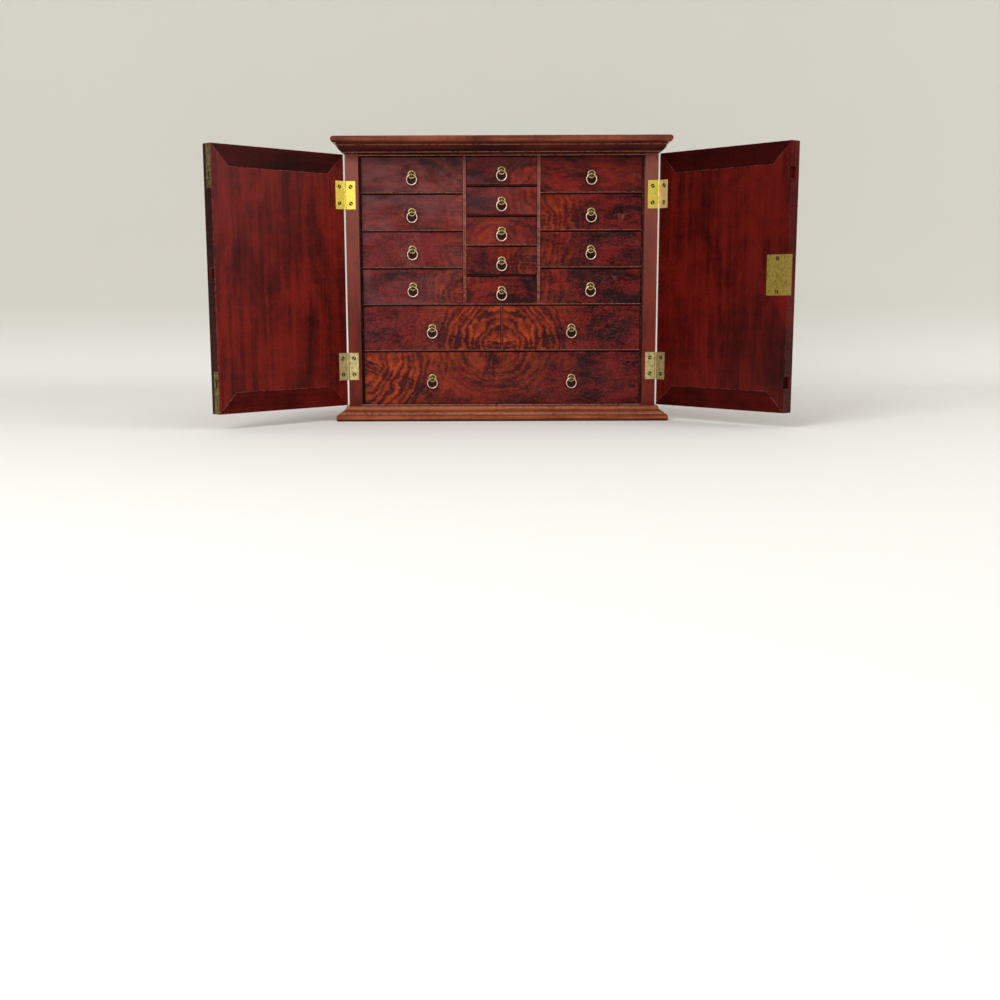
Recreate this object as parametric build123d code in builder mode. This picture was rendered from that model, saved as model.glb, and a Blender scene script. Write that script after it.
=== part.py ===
"""Table-top specimen cabinet in mahogany: two doors, sixteen drawers, ring pulls.

Origin: middle of the case front, on the surface that the plinth rests on.
+X to the right, +Y to the back, +Z up. All sizes are millimetres.
The doors are modelled standing open, as the cabinet is shown in use.
"""
import os
from math import cos, radians, sin, sqrt

from build123d import *

# ---- case -------------------------------------------------------------------
case_width = 500.0
case_depth = 240.0
cabinet_height = 447.0
side_thickness = 21.0
lining_thickness = 3.2
lining_set_back = 14.0
back_thickness = 8.0
floor_thickness = 12.0
floor_reveal = 1.2         # floor board shows this much above the plinth
top_reveal = 2.7           # top board shows this much below the cornice

# ---- plinth and cornice mouldings -------------------------------------------
plinth_height = 23.0
plinth_projection = 18.0
plinth_heel = 2.0          # nose is cut back this much at the floor
base_board_height = 11.0
base_board_shoulder = 3.2
fascia_height = 1.4
fascia_projection = 13.2
ovolo_foot = 14.2
ovolo_projection = 11.0
ovolo_top = 20.8
ovolo_bulge = 1.85         # rise of the ovolo above its chord
ovolo_shoulder = 1.0       # flat between the ovolo and the fillet
plinth_fillet = 3.0
rail_back = 16.0           # the plinth's front rail runs this far under the case
rail_height = 11.5
cornice_height = 24.5
cornice_projection = 18.0
cornice_board = 10.0
cornice_nose = 4.4         # radius of the top board's moulded edge
cornice_corner = 1.0       # radius of the top board's front corners
bed_projection = 10.5
bed_fillet = 3.6
cove_foot = 1.5
cove_quirk = 1.0           # upright at the foot of the cove
cove_top = 9.3
cove_hollow = 1.9          # depth of the hollow below its chord

# ---- doors ------------------------------------------------------------------
door_thickness = 19.0
door_end_gap = 0.8         # above and below each door
meeting_gap = 0.6          # between the two doors when shut
hinge_gap = 0.6            # between a shut door and the case
front_gap = 0.4            # between a shut door's face and the line of the mouldings
clamp_height = 32.0
left_open_angle = 134.5
right_open_angle = 132.8

# ---- butt hinges ------------------------------------------------------------
hinge_height = 44.0
hinge_inset = 41.0         # from the door's end to the hinge
leaf_width = 17.6
leaf_thickness = 1.3
knuckle_radius = 2.4
knuckle_count = 5
knuckle_gap = 0.25
pin_radius = 1.0
pin_fit = 0.05
pin_outset = 1.2           # pin axis stands outside the case side by this
knuckle_clearance = 0.35

# ---- flush bolts in the left door's meeting edge ------------------------------
bolt_plate_length = 64.0
bolt_plate_width = 11.0
bolt_plate_thickness = 1.5
bolt_depth_in_door = 6.5   # from the inner face to the bolt's axis
bolt_radius = 2.3
bolt_bar_clearance = 0.3
bolt_travel = 9.5
bolt_end_set_back = 0.5
bolt_chamfer = 0.8
knob_inset = 50.0          # from the door's end to the knob
knob_radius = 2.4
knob_neck_radius = 1.1
knob_reach = 3.0
knob_standoff = 0.35
bolt_tail = 6.0            # bolt beyond its knob
bolt_tail_room = 1.0       # channel beyond the bolt's tail
bolt_hole_clearance = 0.7
bolt_hole_depth = 12.0
notch_margin = 4.0
notch_width = 5.0
notch_depth = 11.0

# ---- cut cupboard lock in the right door ---------------------------------------
lock_width = 38.0
lock_height = 60.0
lock_centre = 205.0        # from the door's lower end to the lock's middle
lock_plate_thickness = 1.5
lock_case_width = 31.0
lock_case_height = 48.0
lock_case_depth = 8.5
lock_case_wall = 1.2
lock_fit = 0.1
lock_bolt_rise = 4.9       # bolt above the lock's middle
keyhole_drop = 4.0         # keyhole's bow below the lock's middle
lock_bolt_height = 12.0
lock_bolt_thickness = 4.6
lock_bolt_length = 22.0
lock_bolt_fit = 0.2
lock_bolt_set_back = 0.2
lock_bolt_travel = 8.0
mortise_margin = 2.2
mortise_clearance = 2.0    # mortise beyond the thrown bolt
key_bow_radius = 2.6
key_slot_width = 2.4
key_slot_length = 7.0
escutcheon_wall = 1.1
escutcheon_depth = 3.0
drill_pin_radius = 0.9
drill_pin_length = 5.0

# ---- drawers ----------------------------------------------------------------
divider_thickness = 2.6
partition_thickness = 5.4
partition_centre = 59.8
partition_groove = 1.2
short_partition_thickness = 2.8
side_drawer_rows = 4
centre_drawer_rows = 5
bottom_bay_height = 85.7
half_bay_height = 71.8
drawer_set_back = 12.0     # drawer faces behind the case front
drawer_gap_side = 0.8
drawer_gap_below = 0.4
drawer_gap_above = 1.2
drawer_front_thickness = 9.0
drawer_side_thickness = 5.0
drawer_side_inset = 0.4
drawer_back_thickness = 5.0
drawer_back_drop = 3.0
drawer_side_drop = 2.0
drawer_bottom_thickness = 3.0
drawer_bottom_rise = 2.0
drawer_stop_gap = 6.0      # drawer to the back board
drawer_back_gap = 4.0      # sides run on behind the drawer's back
drawer_groove = 2.0        # bottom and back are let into their neighbours by this
tail_lap = 3.0             # drawer front left in front of the dovetails
tail_pitch = 18.0          # least distance between dovetails
tail_width = 11.0          # dovetail at its wide end
tail_slope = 1 / 6
joint_fit = 0.05          # play of a drawer's joints, all round

# ---- ring pulls -------------------------------------------------------------
rosette_radius = 6.6
rosette_thickness = 0.9
rosette_rim_width = 2.2
rosette_rim_height = 2.6
post_radius = 2.9
post_foot = 0.9            # width of the post's flared foot
eye_reach = 5.2            # drawer face to the eye's centre
post_collar = 0.6          # straight part of the post beyond the eye's centre
ring_radius = 8.0
ring_wire_radius = 1.0
ring_clearance = 0.3       # ring to the bore of its eye
ring_sag = ring_radius - sqrt(ring_radius**2 - post_radius**2)
eye_radius = ring_wire_radius + ring_sag + ring_clearance
bottom_pull_offset = 114.0

# ---- derived places ---------------------------------------------------------
half_width = case_width / 2
front_line = hinge_gap + door_thickness + front_gap      # mouldings start here
cornice_bottom = cabinet_height - cornice_height
floor_top = plinth_height + floor_reveal
top_underside = cornice_bottom - top_reveal
cornice_board_bottom = cabinet_height - cornice_board
inner_half_width = half_width - side_thickness
bay_half_width = inner_half_width - lining_thickness
back_face = case_depth - back_thickness
door_bottom = plinth_height + door_end_gap
door_top = cornice_bottom - door_end_gap
pin_x = half_width + pin_outset
pin_y = -hinge_gap / 2
door_near = pin_outset                                  # hinge edge, from the pin
door_far = pin_x - meeting_gap / 2                      # meeting edge, from the pin
door_inner = hinge_gap / 2                              # inner face, outwards from the pin
LEFT = -1
RIGHT = 1
open_angle = {LEFT: left_open_angle, RIGHT: right_open_angle}
hinge_centres = (
    door_bottom + hinge_inset + hinge_height / 2,
    door_top - hinge_inset - hinge_height / 2,
)
lock_z = door_bottom + lock_centre
lock_bolt_z = lock_z + lock_bolt_rise
lock_bolt_depth = lock_plate_thickness + lock_case_depth / 2


# ---- helpers ----------------------------------------------------------------
def save(node, *pieces):
    """Write one node: a single piece, or a group of separate pieces."""
    if len(pieces) == 1:
        result = pieces[0]
    else:
        result = Compound(children=list(pieces))
    result.label = node
    export_step(result, f"parts/{node}.step")


def board(x_low, x_high, y_low, y_high, z_low, z_high):
    """A squared board between two corners."""
    with BuildPart() as piece:
        with BuildSketch(Plane.XY.offset(z_low)):
            with Locations(((x_low + x_high) / 2, (y_low + y_high) / 2)):
                Rectangle(x_high - x_low, y_high - y_low)
        extrude(amount=z_high - z_low)
    return piece.part


def door_face(side, angle):
    """Plane on a door's pin: x runs along the door, y runs up."""
    turn = radians(angle)
    along = Vector(-side * cos(turn), -sin(turn), 0)
    return Plane(origin=(side * pin_x, pin_y, 0), x_dir=along, z_dir=along.cross(Vector(0, 0, 1)))


def outwards(side):
    """Sign that leads from a door's inner face to its outer face along door_face's normal."""
    return -side


def door_slab(side, points, start, thickness):
    """A flat piece of a door from its outline, start deep behind the inner face."""
    face = door_face(side, open_angle[side])
    out = outwards(side)
    with BuildPart() as piece:
        with BuildSketch(face.offset(out * (door_inner + start))):
            Polygon(*points, align=None)
        extrude(amount=out * thickness)
    return piece.part


def rectangle_points(u_low, u_high, z_low, z_high):
    """Corners of a rectangle on a door's face."""
    return ((u_low, z_low), (u_high, z_low), (u_high, z_high), (u_low, z_high))


def placed_in_door(side, u, z, depth, facing):
    """Plane inside a door: facing is 'inner', 'edge' or 'up' and gives its normal."""
    face = door_face(side, open_angle[side])
    out = outwards(side)
    spot = face.from_local_coords(Vector(u, z, out * (door_inner + depth)))
    if facing == "inner":
        return Plane(origin=spot, x_dir=face.x_dir, z_dir=face.z_dir * -out)
    if facing == "edge":
        return Plane(origin=spot, x_dir=(0, 0, 1), z_dir=face.x_dir)
    return Plane(origin=spot, x_dir=face.x_dir, z_dir=(0, 0, 1))


# ---- carcase ----------------------------------------------------------------
def hinge_pocket(side, centre):
    """Wood that a case leaf and its knuckles need out of the stile."""
    with BuildPart() as pocket:
        with BuildSketch(Plane.XZ):
            with Locations((side * (half_width - leaf_width / 2 + pin_outset), centre)):
                Rectangle(leaf_width, hinge_height)
        extrude(amount=-leaf_thickness)
        with BuildSketch(Plane.XY.offset(centre - hinge_height / 2)):
            with Locations((side * pin_x, pin_y)):
                Circle(knuckle_radius + knuckle_clearance)
        extrude(amount=hinge_height)
    return pocket.part


def make_side(side):
    """Case side: its front edge is the stile that carries the hinges."""
    x_inner = side * inner_half_width
    x_outer = side * half_width
    with BuildPart() as case_side:
        add(board(min(x_inner, x_outer), max(x_inner, x_outer), 0, case_depth, 0, cornice_board_bottom))
        for centre in hinge_centres:
            add(hinge_pocket(side, centre), mode=Mode.SUBTRACT)
    x_bay = side * bay_half_width
    lining = board(
        min(x_inner, x_bay), max(x_inner, x_bay), lining_set_back, back_face, floor_top, top_underside
    )
    return case_side.part, lining


def plinth_profile():
    """Section of the plinth moulding: x outwards from the case, y up."""
    with BuildSketch() as profile:
        with BuildLine():
            Polyline((0, plinth_height), (0, 0), (plinth_projection - plinth_heel, 0))
            ThreePointArc(
                (plinth_projection - plinth_heel, 0),
                (plinth_projection, base_board_height / 2),
                (plinth_projection - base_board_shoulder, base_board_height),
            )
            Polyline(
                (plinth_projection - base_board_shoulder, base_board_height),
                (fascia_projection, base_board_height),
                (fascia_projection, base_board_height + fascia_height),
                (ovolo_projection, base_board_height + fascia_height),
                (ovolo_projection, ovolo_foot),
            )
            SagittaArc(
                (ovolo_projection, ovolo_foot),
                (plinth_fillet + ovolo_shoulder, ovolo_top),
                ovolo_bulge,
            )
            Polyline(
                (plinth_fillet + ovolo_shoulder, ovolo_top),
                (plinth_fillet, ovolo_top),
                (plinth_fillet, plinth_height),
                (0, plinth_height),
            )
        make_face()
    return profile.sketch


def bed_profile():
    """Section of the cornice's bed moulding: x outwards, y up from the cornice's underside."""
    height = cornice_height - cornice_board
    with BuildSketch() as profile:
        with BuildLine():
            Polyline((0, height), (0, 0), (cove_foot, 0), (cove_foot, cove_quirk))
            SagittaArc((cove_foot, cove_quirk), (cove_top, height - bed_fillet), -cove_hollow)
            Polyline(
                (cove_top, height - bed_fillet),
                (bed_projection, height - bed_fillet),
                (bed_projection, height),
                (0, height),
            )
        make_face()
    return profile.sketch


def mitred_frame(profile, z_base, has_rail):
    """A moulding along the front and both sides, mitred at the front corners.

    The front length is backed by wood as far as the case front, and with has_rail by a
    rail under the case. Returns the front, left and right lengths.
    """
    reach = half_width + front_line
    lengths = []
    with BuildPart() as front:
        with BuildSketch(Plane(origin=(reach, -front_line, z_base), x_dir=(0, -1, 0), z_dir=(-1, 0, 0))):
            add(profile)
        extrude(amount=2 * reach)
        for side in (LEFT, RIGHT):
            mitre = Plane(origin=(side * half_width, -front_line, 0), z_dir=(side, 1, 0))
            split(bisect_by=mitre, keep=Keep.BOTTOM)
        height = profile.bounding_box().size.Y
        add(board(-half_width, half_width, -front_line, 0, z_base, z_base + height))
        if has_rail:
            add(board(-inner_half_width, inner_half_width, 0, rail_back, z_base, z_base + rail_height))
    lengths.append(front.part)
    for side in (LEFT, RIGHT):
        with BuildPart() as length:
            back_end = Plane(
                origin=(side * half_width, case_depth, z_base), x_dir=(side, 0, 0), z_dir=(0, -side, 0)
            )
            with BuildSketch(back_end):
                add(profile)
            extrude(amount=side * (case_depth + reach))
            mitre = Plane(origin=(side * half_width, -front_line, 0), z_dir=(side, 1, 0))
            split(bisect_by=mitre, keep=Keep.TOP)
        lengths.append(length.part)
    return lengths


def bolt_socket(z_mouth, direction):
    """Hole for a flush bolt, from its mouth into the plinth or the cornice."""
    x = -meeting_gap / 2 - bolt_axis_inset()
    y = -hinge_gap - bolt_depth_in_door
    with BuildPart() as hole:
        with BuildSketch(Plane.XY.offset(z_mouth)):
            with Locations((x, y)):
                Circle(bolt_radius + bolt_hole_clearance)
        extrude(amount=direction * bolt_hole_depth)
    return hole.part


def bolt_axis_inset():
    """From the door's meeting edge to a flush bolt's axis."""
    return bolt_plate_thickness + bolt_bar_clearance + bolt_radius


def make_plinth():
    """Moulded plinth: front rail and two returns."""
    front, left, right = mitred_frame(plinth_profile(), 0, True)
    with BuildPart() as front_rail:
        add(front)
        add(bolt_socket(plinth_height, -1), mode=Mode.SUBTRACT)
    return front_rail.part, left, right


def make_cornice():
    """Bed moulding and soffit rail under the cornice board."""
    front, left, right = mitred_frame(bed_profile(), cornice_bottom, False)
    with BuildPart() as front_rail:
        add(front)
        add(bolt_socket(cornice_bottom, 1), mode=Mode.SUBTRACT)
    return front_rail.part, left, right


def make_cornice_board():
    """Top board with its moulded edge on the front and sides."""
    reach = half_width + cornice_projection
    front = -front_line - cornice_projection
    with BuildPart() as cornice_top:
        with BuildSketch(Plane.XY.offset(cornice_board_bottom)):
            with Locations((0, (front + case_depth) / 2)):
                Rectangle(2 * reach, case_depth - front)
        extrude(amount=cornice_board)
        corners = cornice_top.edges().filter_by(Axis.Z).group_by(Axis.Y)[0]
        fillet(corners, radius=cornice_corner)
        rim = cornice_top.faces().filter_by(Axis.Z)
        moulded = [e for face in rim for e in face.edges() if e.center().Y < case_depth - cornice_nose]
        fillet(moulded, radius=cornice_nose)
    return cornice_top.part


def bay_rows(z_low, z_high, rows):
    """Lower and upper limits of equal bays with dividers between them."""
    height = (z_high - z_low - (rows - 1) * divider_thickness) / rows
    step = height + divider_thickness
    return [(z_low + row * step, z_low + row * step + height) for row in range(rows)]


half_bay_floor = floor_top + bottom_bay_height + divider_thickness
upper_floor = half_bay_floor + half_bay_height + divider_thickness
column_edge = partition_centre + partition_thickness / 2
centre_edge = partition_centre - partition_thickness / 2
short_edge = short_partition_thickness / 2


def bays():
    """Every drawer's bay: name, x limits, z limits and the pulls' x places."""
    result = {}
    for name, x_low, x_high in (
        ("left", -bay_half_width, -column_edge),
        ("right", column_edge, bay_half_width),
    ):
        rows = bay_rows(upper_floor, top_underside, side_drawer_rows)
        for row, (z_low, z_high) in enumerate(reversed(rows), start=1):
            result[f"{name}_{row}"] = (x_low, x_high, z_low, z_high, ((x_low + x_high) / 2,))
    rows = bay_rows(upper_floor, top_underside, centre_drawer_rows)
    for row, (z_low, z_high) in enumerate(reversed(rows), start=1):
        result[f"centre_{row}"] = (-centre_edge, centre_edge, z_low, z_high, (0.0,))
    half_top = half_bay_floor + half_bay_height
    half_middle = (short_edge + bay_half_width) / 2
    result["half_left"] = (-bay_half_width, -short_edge, half_bay_floor, half_top, (-half_middle,))
    result["half_right"] = (short_edge, bay_half_width, half_bay_floor, half_top, (half_middle,))
    pulls = (-bottom_pull_offset, bottom_pull_offset)
    bottom_top = floor_top + bottom_bay_height
    result["bottom"] = (-bay_half_width, bay_half_width, floor_top, bottom_top, pulls)
    return result


def make_partitions():
    """Upright partitions, with a bead scratched along each tall one's front edge."""
    pieces = []
    for side in (LEFT, RIGHT):
        x = side * partition_centre
        with BuildPart() as partition:
            add(
                board(
                    x - partition_thickness / 2,
                    x + partition_thickness / 2,
                    drawer_set_back,
                    back_face,
                    upper_floor,
                    top_underside,
                )
            )
            with BuildSketch(Plane.XY.offset(upper_floor)):
                with Locations((x, drawer_set_back)):
                    Rectangle(partition_groove, partition_groove, rotation=45)
            extrude(amount=top_underside - upper_floor, mode=Mode.SUBTRACT)
        pieces.append(partition.part)
    pieces.append(
        board(
            -short_edge,
            short_edge,
            drawer_set_back,
            back_face,
            half_bay_floor,
            half_bay_floor + half_bay_height,
        )
    )
    return pieces


def make_dividers():
    """Thin boards that the drawers run on, between the partitions and linings."""
    pieces = []
    for z in (half_bay_floor - divider_thickness, upper_floor - divider_thickness):
        pieces.append(
            board(-bay_half_width, bay_half_width, drawer_set_back, back_face, z, z + divider_thickness)
        )
    for x_low, x_high, rows in (
        (-bay_half_width, -column_edge, side_drawer_rows),
        (-centre_edge, centre_edge, centre_drawer_rows),
        (column_edge, bay_half_width, side_drawer_rows),
    ):
        for z_low, z_high in bay_rows(upper_floor, top_underside, rows)[:-1]:
            pieces.append(
                board(x_low, x_high, drawer_set_back, back_face, z_high, z_high + divider_thickness)
            )
    return pieces


# ---- hinges -----------------------------------------------------------------
def knuckle_spans(centre):
    """Lower end and height of each knuckle of a hinge."""
    height = (hinge_height - (knuckle_count - 1) * knuckle_gap) / knuckle_count
    low = centre - hinge_height / 2
    return [(low + n * (height + knuckle_gap), height) for n in range(knuckle_count)]


def make_leaf(side, angle, centre, own_knuckles):
    """One hinge leaf with its share of the knuckles.

    angle is the leaf's turn about the pin from the case front; a case leaf lies at 0 with
    its thickness into the stile, a door leaf with its thickness into the door.
    """
    face = door_face(side, angle)
    into = outwards(side) if angle else -outwards(side)
    surface = into * hinge_gap / 2
    clear = knuckle_radius + knuckle_clearance / 2
    with BuildPart() as leaf:
        with BuildSketch(face.offset(surface)):
            with Locations(((clear + leaf_width) / 2, centre)):
                Rectangle(leaf_width - clear, hinge_height)
        extrude(amount=into * leaf_thickness)
        for number, (low, height) in enumerate(knuckle_spans(centre)):
            if number not in own_knuckles:
                continue
            with BuildSketch(face.offset(surface)):
                with Locations((clear / 2, low + height / 2)):
                    Rectangle(clear, height)
            extrude(amount=into * leaf_thickness)
            with BuildSketch(Plane.XY.offset(low)):
                with Locations((side * pin_x, pin_y)):
                    Circle(knuckle_radius)
            extrude(amount=height)
        with BuildSketch(Plane.XY.offset(centre - hinge_height / 2)):
            with Locations((side * pin_x, pin_y)):
                Circle(pin_radius + pin_fit)
        extrude(amount=hinge_height, mode=Mode.SUBTRACT)
    return leaf.part


def make_pin(side, centre):
    """Hinge pin, as long as the knuckles."""
    with BuildPart() as pin:
        with BuildSketch(Plane.XY.offset(centre - hinge_height / 2)):
            with Locations((side * pin_x, pin_y)):
                Circle(pin_radius)
        extrude(amount=hinge_height)
    return pin.part


CASE_KNUCKLES = (1, 3)
DOOR_KNUCKLES = (0, 2, 4)


# ---- doors ------------------------------------------------------------------
def door_hinge_pockets(side):
    """Wood that the door leaves and knuckles need out of a door."""
    pockets = []
    face = door_face(side, open_angle[side])
    out = outwards(side)
    for centre in hinge_centres:
        with BuildPart() as pocket:
            with BuildSketch(face.offset(out * door_inner)):
                with Locations((leaf_width / 2, centre)):
                    Rectangle(leaf_width, hinge_height)
            extrude(amount=out * leaf_thickness)
            with BuildSketch(Plane.XY.offset(centre - hinge_height / 2)):
                with Locations((side * pin_x, pin_y)):
                    Circle(knuckle_radius + knuckle_clearance)
            extrude(amount=hinge_height)
        pockets.append(pocket.part)
    return pockets


def make_door_wood(side, cutters):
    """A door of upright boards with a mitred clamp across each end."""
    inner_low = door_bottom + clamp_height
    inner_high = door_top - clamp_height
    inner_near = door_near + clamp_height
    inner_far = door_far - clamp_height
    panel_points = (
        (door_near, door_bottom),
        (inner_near, inner_low),
        (inner_far, inner_low),
        (door_far, door_bottom),
        (door_far, door_top),
        (inner_far, inner_high),
        (inner_near, inner_high),
        (door_near, door_top),
    )
    lower_points = (
        (door_near, door_bottom),
        (door_far, door_bottom),
        (inner_far, inner_low),
        (inner_near, inner_low),
    )
    upper_points = (
        (door_near, door_top),
        (inner_near, inner_high),
        (inner_far, inner_high),
        (door_far, door_top),
    )
    pieces = []
    for points in (panel_points, lower_points, upper_points):
        with BuildPart() as piece:
            add(door_slab(side, points, 0, door_thickness))
            for cutter in cutters:
                add(cutter, mode=Mode.SUBTRACT)
        pieces.append(piece.part)
    return pieces


# ---- flush bolts ------------------------------------------------------------
def bolt_ends():
    """Each flush bolt's name, the door end it shoots from and its direction."""
    return (("top", door_top, 1), ("bottom", door_bottom, -1))


def edge_slab(side, z_low, z_high, width, depth_in_door, start, thickness):
    """A strip let into a door's meeting edge, start deep from the edge."""
    plane = placed_in_door(side, door_far - start, (z_low + z_high) / 2, depth_in_door, "edge")
    with BuildPart() as strip:
        with BuildSketch(plane):
            Rectangle(z_high - z_low, width)
        extrude(amount=-thickness)
    return strip.part


def bolt_pocket(end, direction):
    """Recess for a bolt plate and channel for its bolt."""
    far = end - direction * bolt_plate_length
    tail = end - direction * (knob_inset + bolt_tail + bolt_tail_room)
    channel = 2 * (bolt_radius + bolt_bar_clearance)
    with BuildPart() as pocket:
        add(
            edge_slab(
                LEFT,
                min(end, far),
                max(end, far),
                bolt_plate_width,
                bolt_depth_in_door,
                0,
                bolt_plate_thickness,
            )
        )
        add(
            edge_slab(
                LEFT,
                min(end, tail),
                max(end, tail),
                channel,
                bolt_depth_in_door,
                bolt_plate_thickness,
                channel,
            )
        )
    return pocket.part


def make_bolt_plate(end, direction):
    """Brass plate in the door's edge, slotted for the knob's neck."""
    far = end - direction * bolt_plate_length
    knob = end - direction * knob_inset
    slot_far = knob + direction * bolt_travel
    slot_half = knob_neck_radius + bolt_bar_clearance
    with BuildPart() as plate:
        add(
            edge_slab(
                LEFT,
                min(end, far),
                max(end, far),
                bolt_plate_width,
                bolt_depth_in_door,
                0,
                bolt_plate_thickness,
            )
        )
        middle = (knob + slot_far) / 2
        with BuildSketch(placed_in_door(LEFT, door_far, middle, bolt_depth_in_door, "edge")):
            SlotCenterToCenter(bolt_travel, 2 * slot_half)
        extrude(amount=-bolt_plate_thickness, mode=Mode.SUBTRACT)
    return plate.part


def make_flush_bolt(end, direction):
    """Round bolt with its knob, drawn back flush with the door's end."""
    knob = end - direction * knob_inset
    tail = knob - direction * bolt_tail
    tip = end - direction * bolt_end_set_back
    u = door_far - bolt_axis_inset()
    with BuildPart() as bolt:
        with BuildSketch(placed_in_door(LEFT, u, tail, bolt_depth_in_door, "up")):
            Circle(bolt_radius)
        extrude(amount=tip - tail)
        tip_edges = bolt.faces().filter_by(Axis.Z).sort_by(Axis.Z)[-1 if direction > 0 else 0].edges()
        chamfer(tip_edges, length=bolt_chamfer)
        neck_reach = bolt_axis_inset() + knob_standoff
        with BuildSketch(placed_in_door(LEFT, u, knob, bolt_depth_in_door, "edge")):
            Circle(knob_neck_radius)
        extrude(amount=neck_reach + knob_reach / 2)
        with BuildSketch(placed_in_door(LEFT, door_far + knob_standoff, knob, bolt_depth_in_door, "edge")):
            Circle(knob_radius)
        extrude(amount=knob_reach)
    return bolt.part


def knob_notches():
    """Notches in the right door's meeting edge that clear the bolt knobs."""
    notches = []
    for _, end, direction in bolt_ends():
        knob = end - direction * knob_inset
        thrown = knob + direction * bolt_travel
        z_low = min(knob, thrown) - notch_margin
        z_high = max(knob, thrown) + notch_margin
        points = rectangle_points(door_far - notch_width, door_far, z_low, z_high)
        notches.append(door_slab(RIGHT, points, 0, notch_depth))
    return notches


# ---- lock -------------------------------------------------------------------
def keyhole_outline(margin):
    """Keyhole section, a round bow with a slot under it."""
    with BuildSketch() as outline:
        Circle(key_bow_radius + margin)
        with Locations((0, -key_slot_length / 2)):
            Rectangle(key_slot_width + 2 * margin, key_slot_length + 2 * margin)
    return outline.sketch


def keyhole_plane(depth):
    """Plane across the keyhole, depth behind the right door's inner face."""
    return placed_in_door(RIGHT, keyhole_u, lock_z - keyhole_drop, depth, "inner")


keyhole_u = door_far - lock_plate_thickness - lock_case_width / 2


def lock_pocket():
    """Recess for the lock's plate, case and selvedge, with its keyhole."""
    z_low = lock_z - lock_height / 2
    z_high = lock_z + lock_height / 2
    selvedge_width = lock_plate_thickness + lock_case_depth
    case_low = lock_z - lock_case_height / 2
    case_high = lock_z + lock_case_height / 2
    case_far = door_far - lock_plate_thickness
    with BuildPart() as pocket:
        add(
            door_slab(
                RIGHT,
                rectangle_points(door_far - lock_width, door_far, z_low, z_high),
                0,
                lock_plate_thickness,
            )
        )
        add(
            door_slab(
                RIGHT, rectangle_points(case_far, door_far, z_low, z_high), 0, selvedge_width
            )
        )
        add(
            door_slab(
                RIGHT,
                rectangle_points(
                    case_far - lock_case_width - lock_fit,
                    case_far,
                    case_low - lock_fit,
                    case_high + lock_fit,
                ),
                lock_plate_thickness,
                lock_case_depth + lock_fit,
            )
        )
        with BuildSketch(keyhole_plane(door_thickness)):
            add(keyhole_outline(0))
        extrude(amount=door_thickness - lock_plate_thickness - lock_case_depth)
        with BuildSketch(keyhole_plane(door_thickness)):
            add(keyhole_outline(escutcheon_wall))
        extrude(amount=escutcheon_depth)
    return pocket.part


def make_lock_case():
    """Plate, selvedge and hollow case of the lock in one piece, with the drill pin."""
    z_low = lock_z - lock_height / 2
    z_high = lock_z + lock_height / 2
    selvedge_width = lock_plate_thickness + lock_case_depth
    case_far = door_far - lock_plate_thickness
    case_near = case_far - lock_case_width
    case_low = lock_z - lock_case_height / 2
    case_high = lock_z + lock_case_height / 2
    wall = lock_case_wall
    slot_low = lock_bolt_z - lock_bolt_height / 2 - lock_bolt_fit
    slot_high = lock_bolt_z + lock_bolt_height / 2 + lock_bolt_fit
    slot_width = lock_bolt_thickness + 2 * lock_bolt_fit
    with BuildPart() as lock:
        add(
            door_slab(
                RIGHT,
                rectangle_points(door_far - lock_width, door_far, z_low, z_high),
                0,
                lock_plate_thickness,
            )
        )
        add(
            door_slab(
                RIGHT, rectangle_points(case_far, door_far, z_low, z_high), 0, selvedge_width
            )
        )
        add(
            door_slab(
                RIGHT,
                rectangle_points(case_near, case_far, case_low, case_high),
                lock_plate_thickness,
                lock_case_depth,
            )
        )
        add(
            door_slab(
                RIGHT,
                rectangle_points(case_near + wall, case_far, case_low + wall, case_high - wall),
                lock_plate_thickness,
                lock_case_depth - wall,
            ),
            mode=Mode.SUBTRACT,
        )
        add(
            edge_slab(
                RIGHT, slot_low, slot_high, slot_width, lock_bolt_depth, 0, lock_plate_thickness
            ),
            mode=Mode.SUBTRACT,
        )
        with BuildSketch(keyhole_plane(lock_plate_thickness + lock_case_depth)):
            add(keyhole_outline(0))
        extrude(amount=wall, mode=Mode.SUBTRACT)
        with BuildSketch(keyhole_plane(lock_plate_thickness)):
            Circle(drill_pin_radius)
        extrude(amount=-drill_pin_length)
    return lock.part


def make_lock_bolt():
    """Square bolt, drawn back flush with the selvedge."""
    high = lock_bolt_z + lock_bolt_height / 2
    low = lock_bolt_z - lock_bolt_height / 2
    return edge_slab(
        RIGHT, low, high, lock_bolt_thickness, lock_bolt_depth, lock_bolt_set_back, lock_bolt_length
    )


def make_escutcheon():
    """Brass thread round the keyhole in the right door's outer face."""
    with BuildPart() as escutcheon:
        with BuildSketch(keyhole_plane(door_thickness)):
            add(keyhole_outline(escutcheon_wall))
            add(keyhole_outline(0), mode=Mode.SUBTRACT)
        extrude(amount=escutcheon_depth)
    return escutcheon.part


def bolt_mortise():
    """Mortise in the left door's meeting edge that takes the lock's bolt."""
    half = lock_bolt_height / 2 + mortise_margin
    width = lock_bolt_thickness + mortise_margin
    return edge_slab(
        LEFT,
        lock_bolt_z - half,
        lock_bolt_z + half,
        width,
        lock_bolt_depth,
        0,
        lock_bolt_travel + mortise_clearance,
    )


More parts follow.
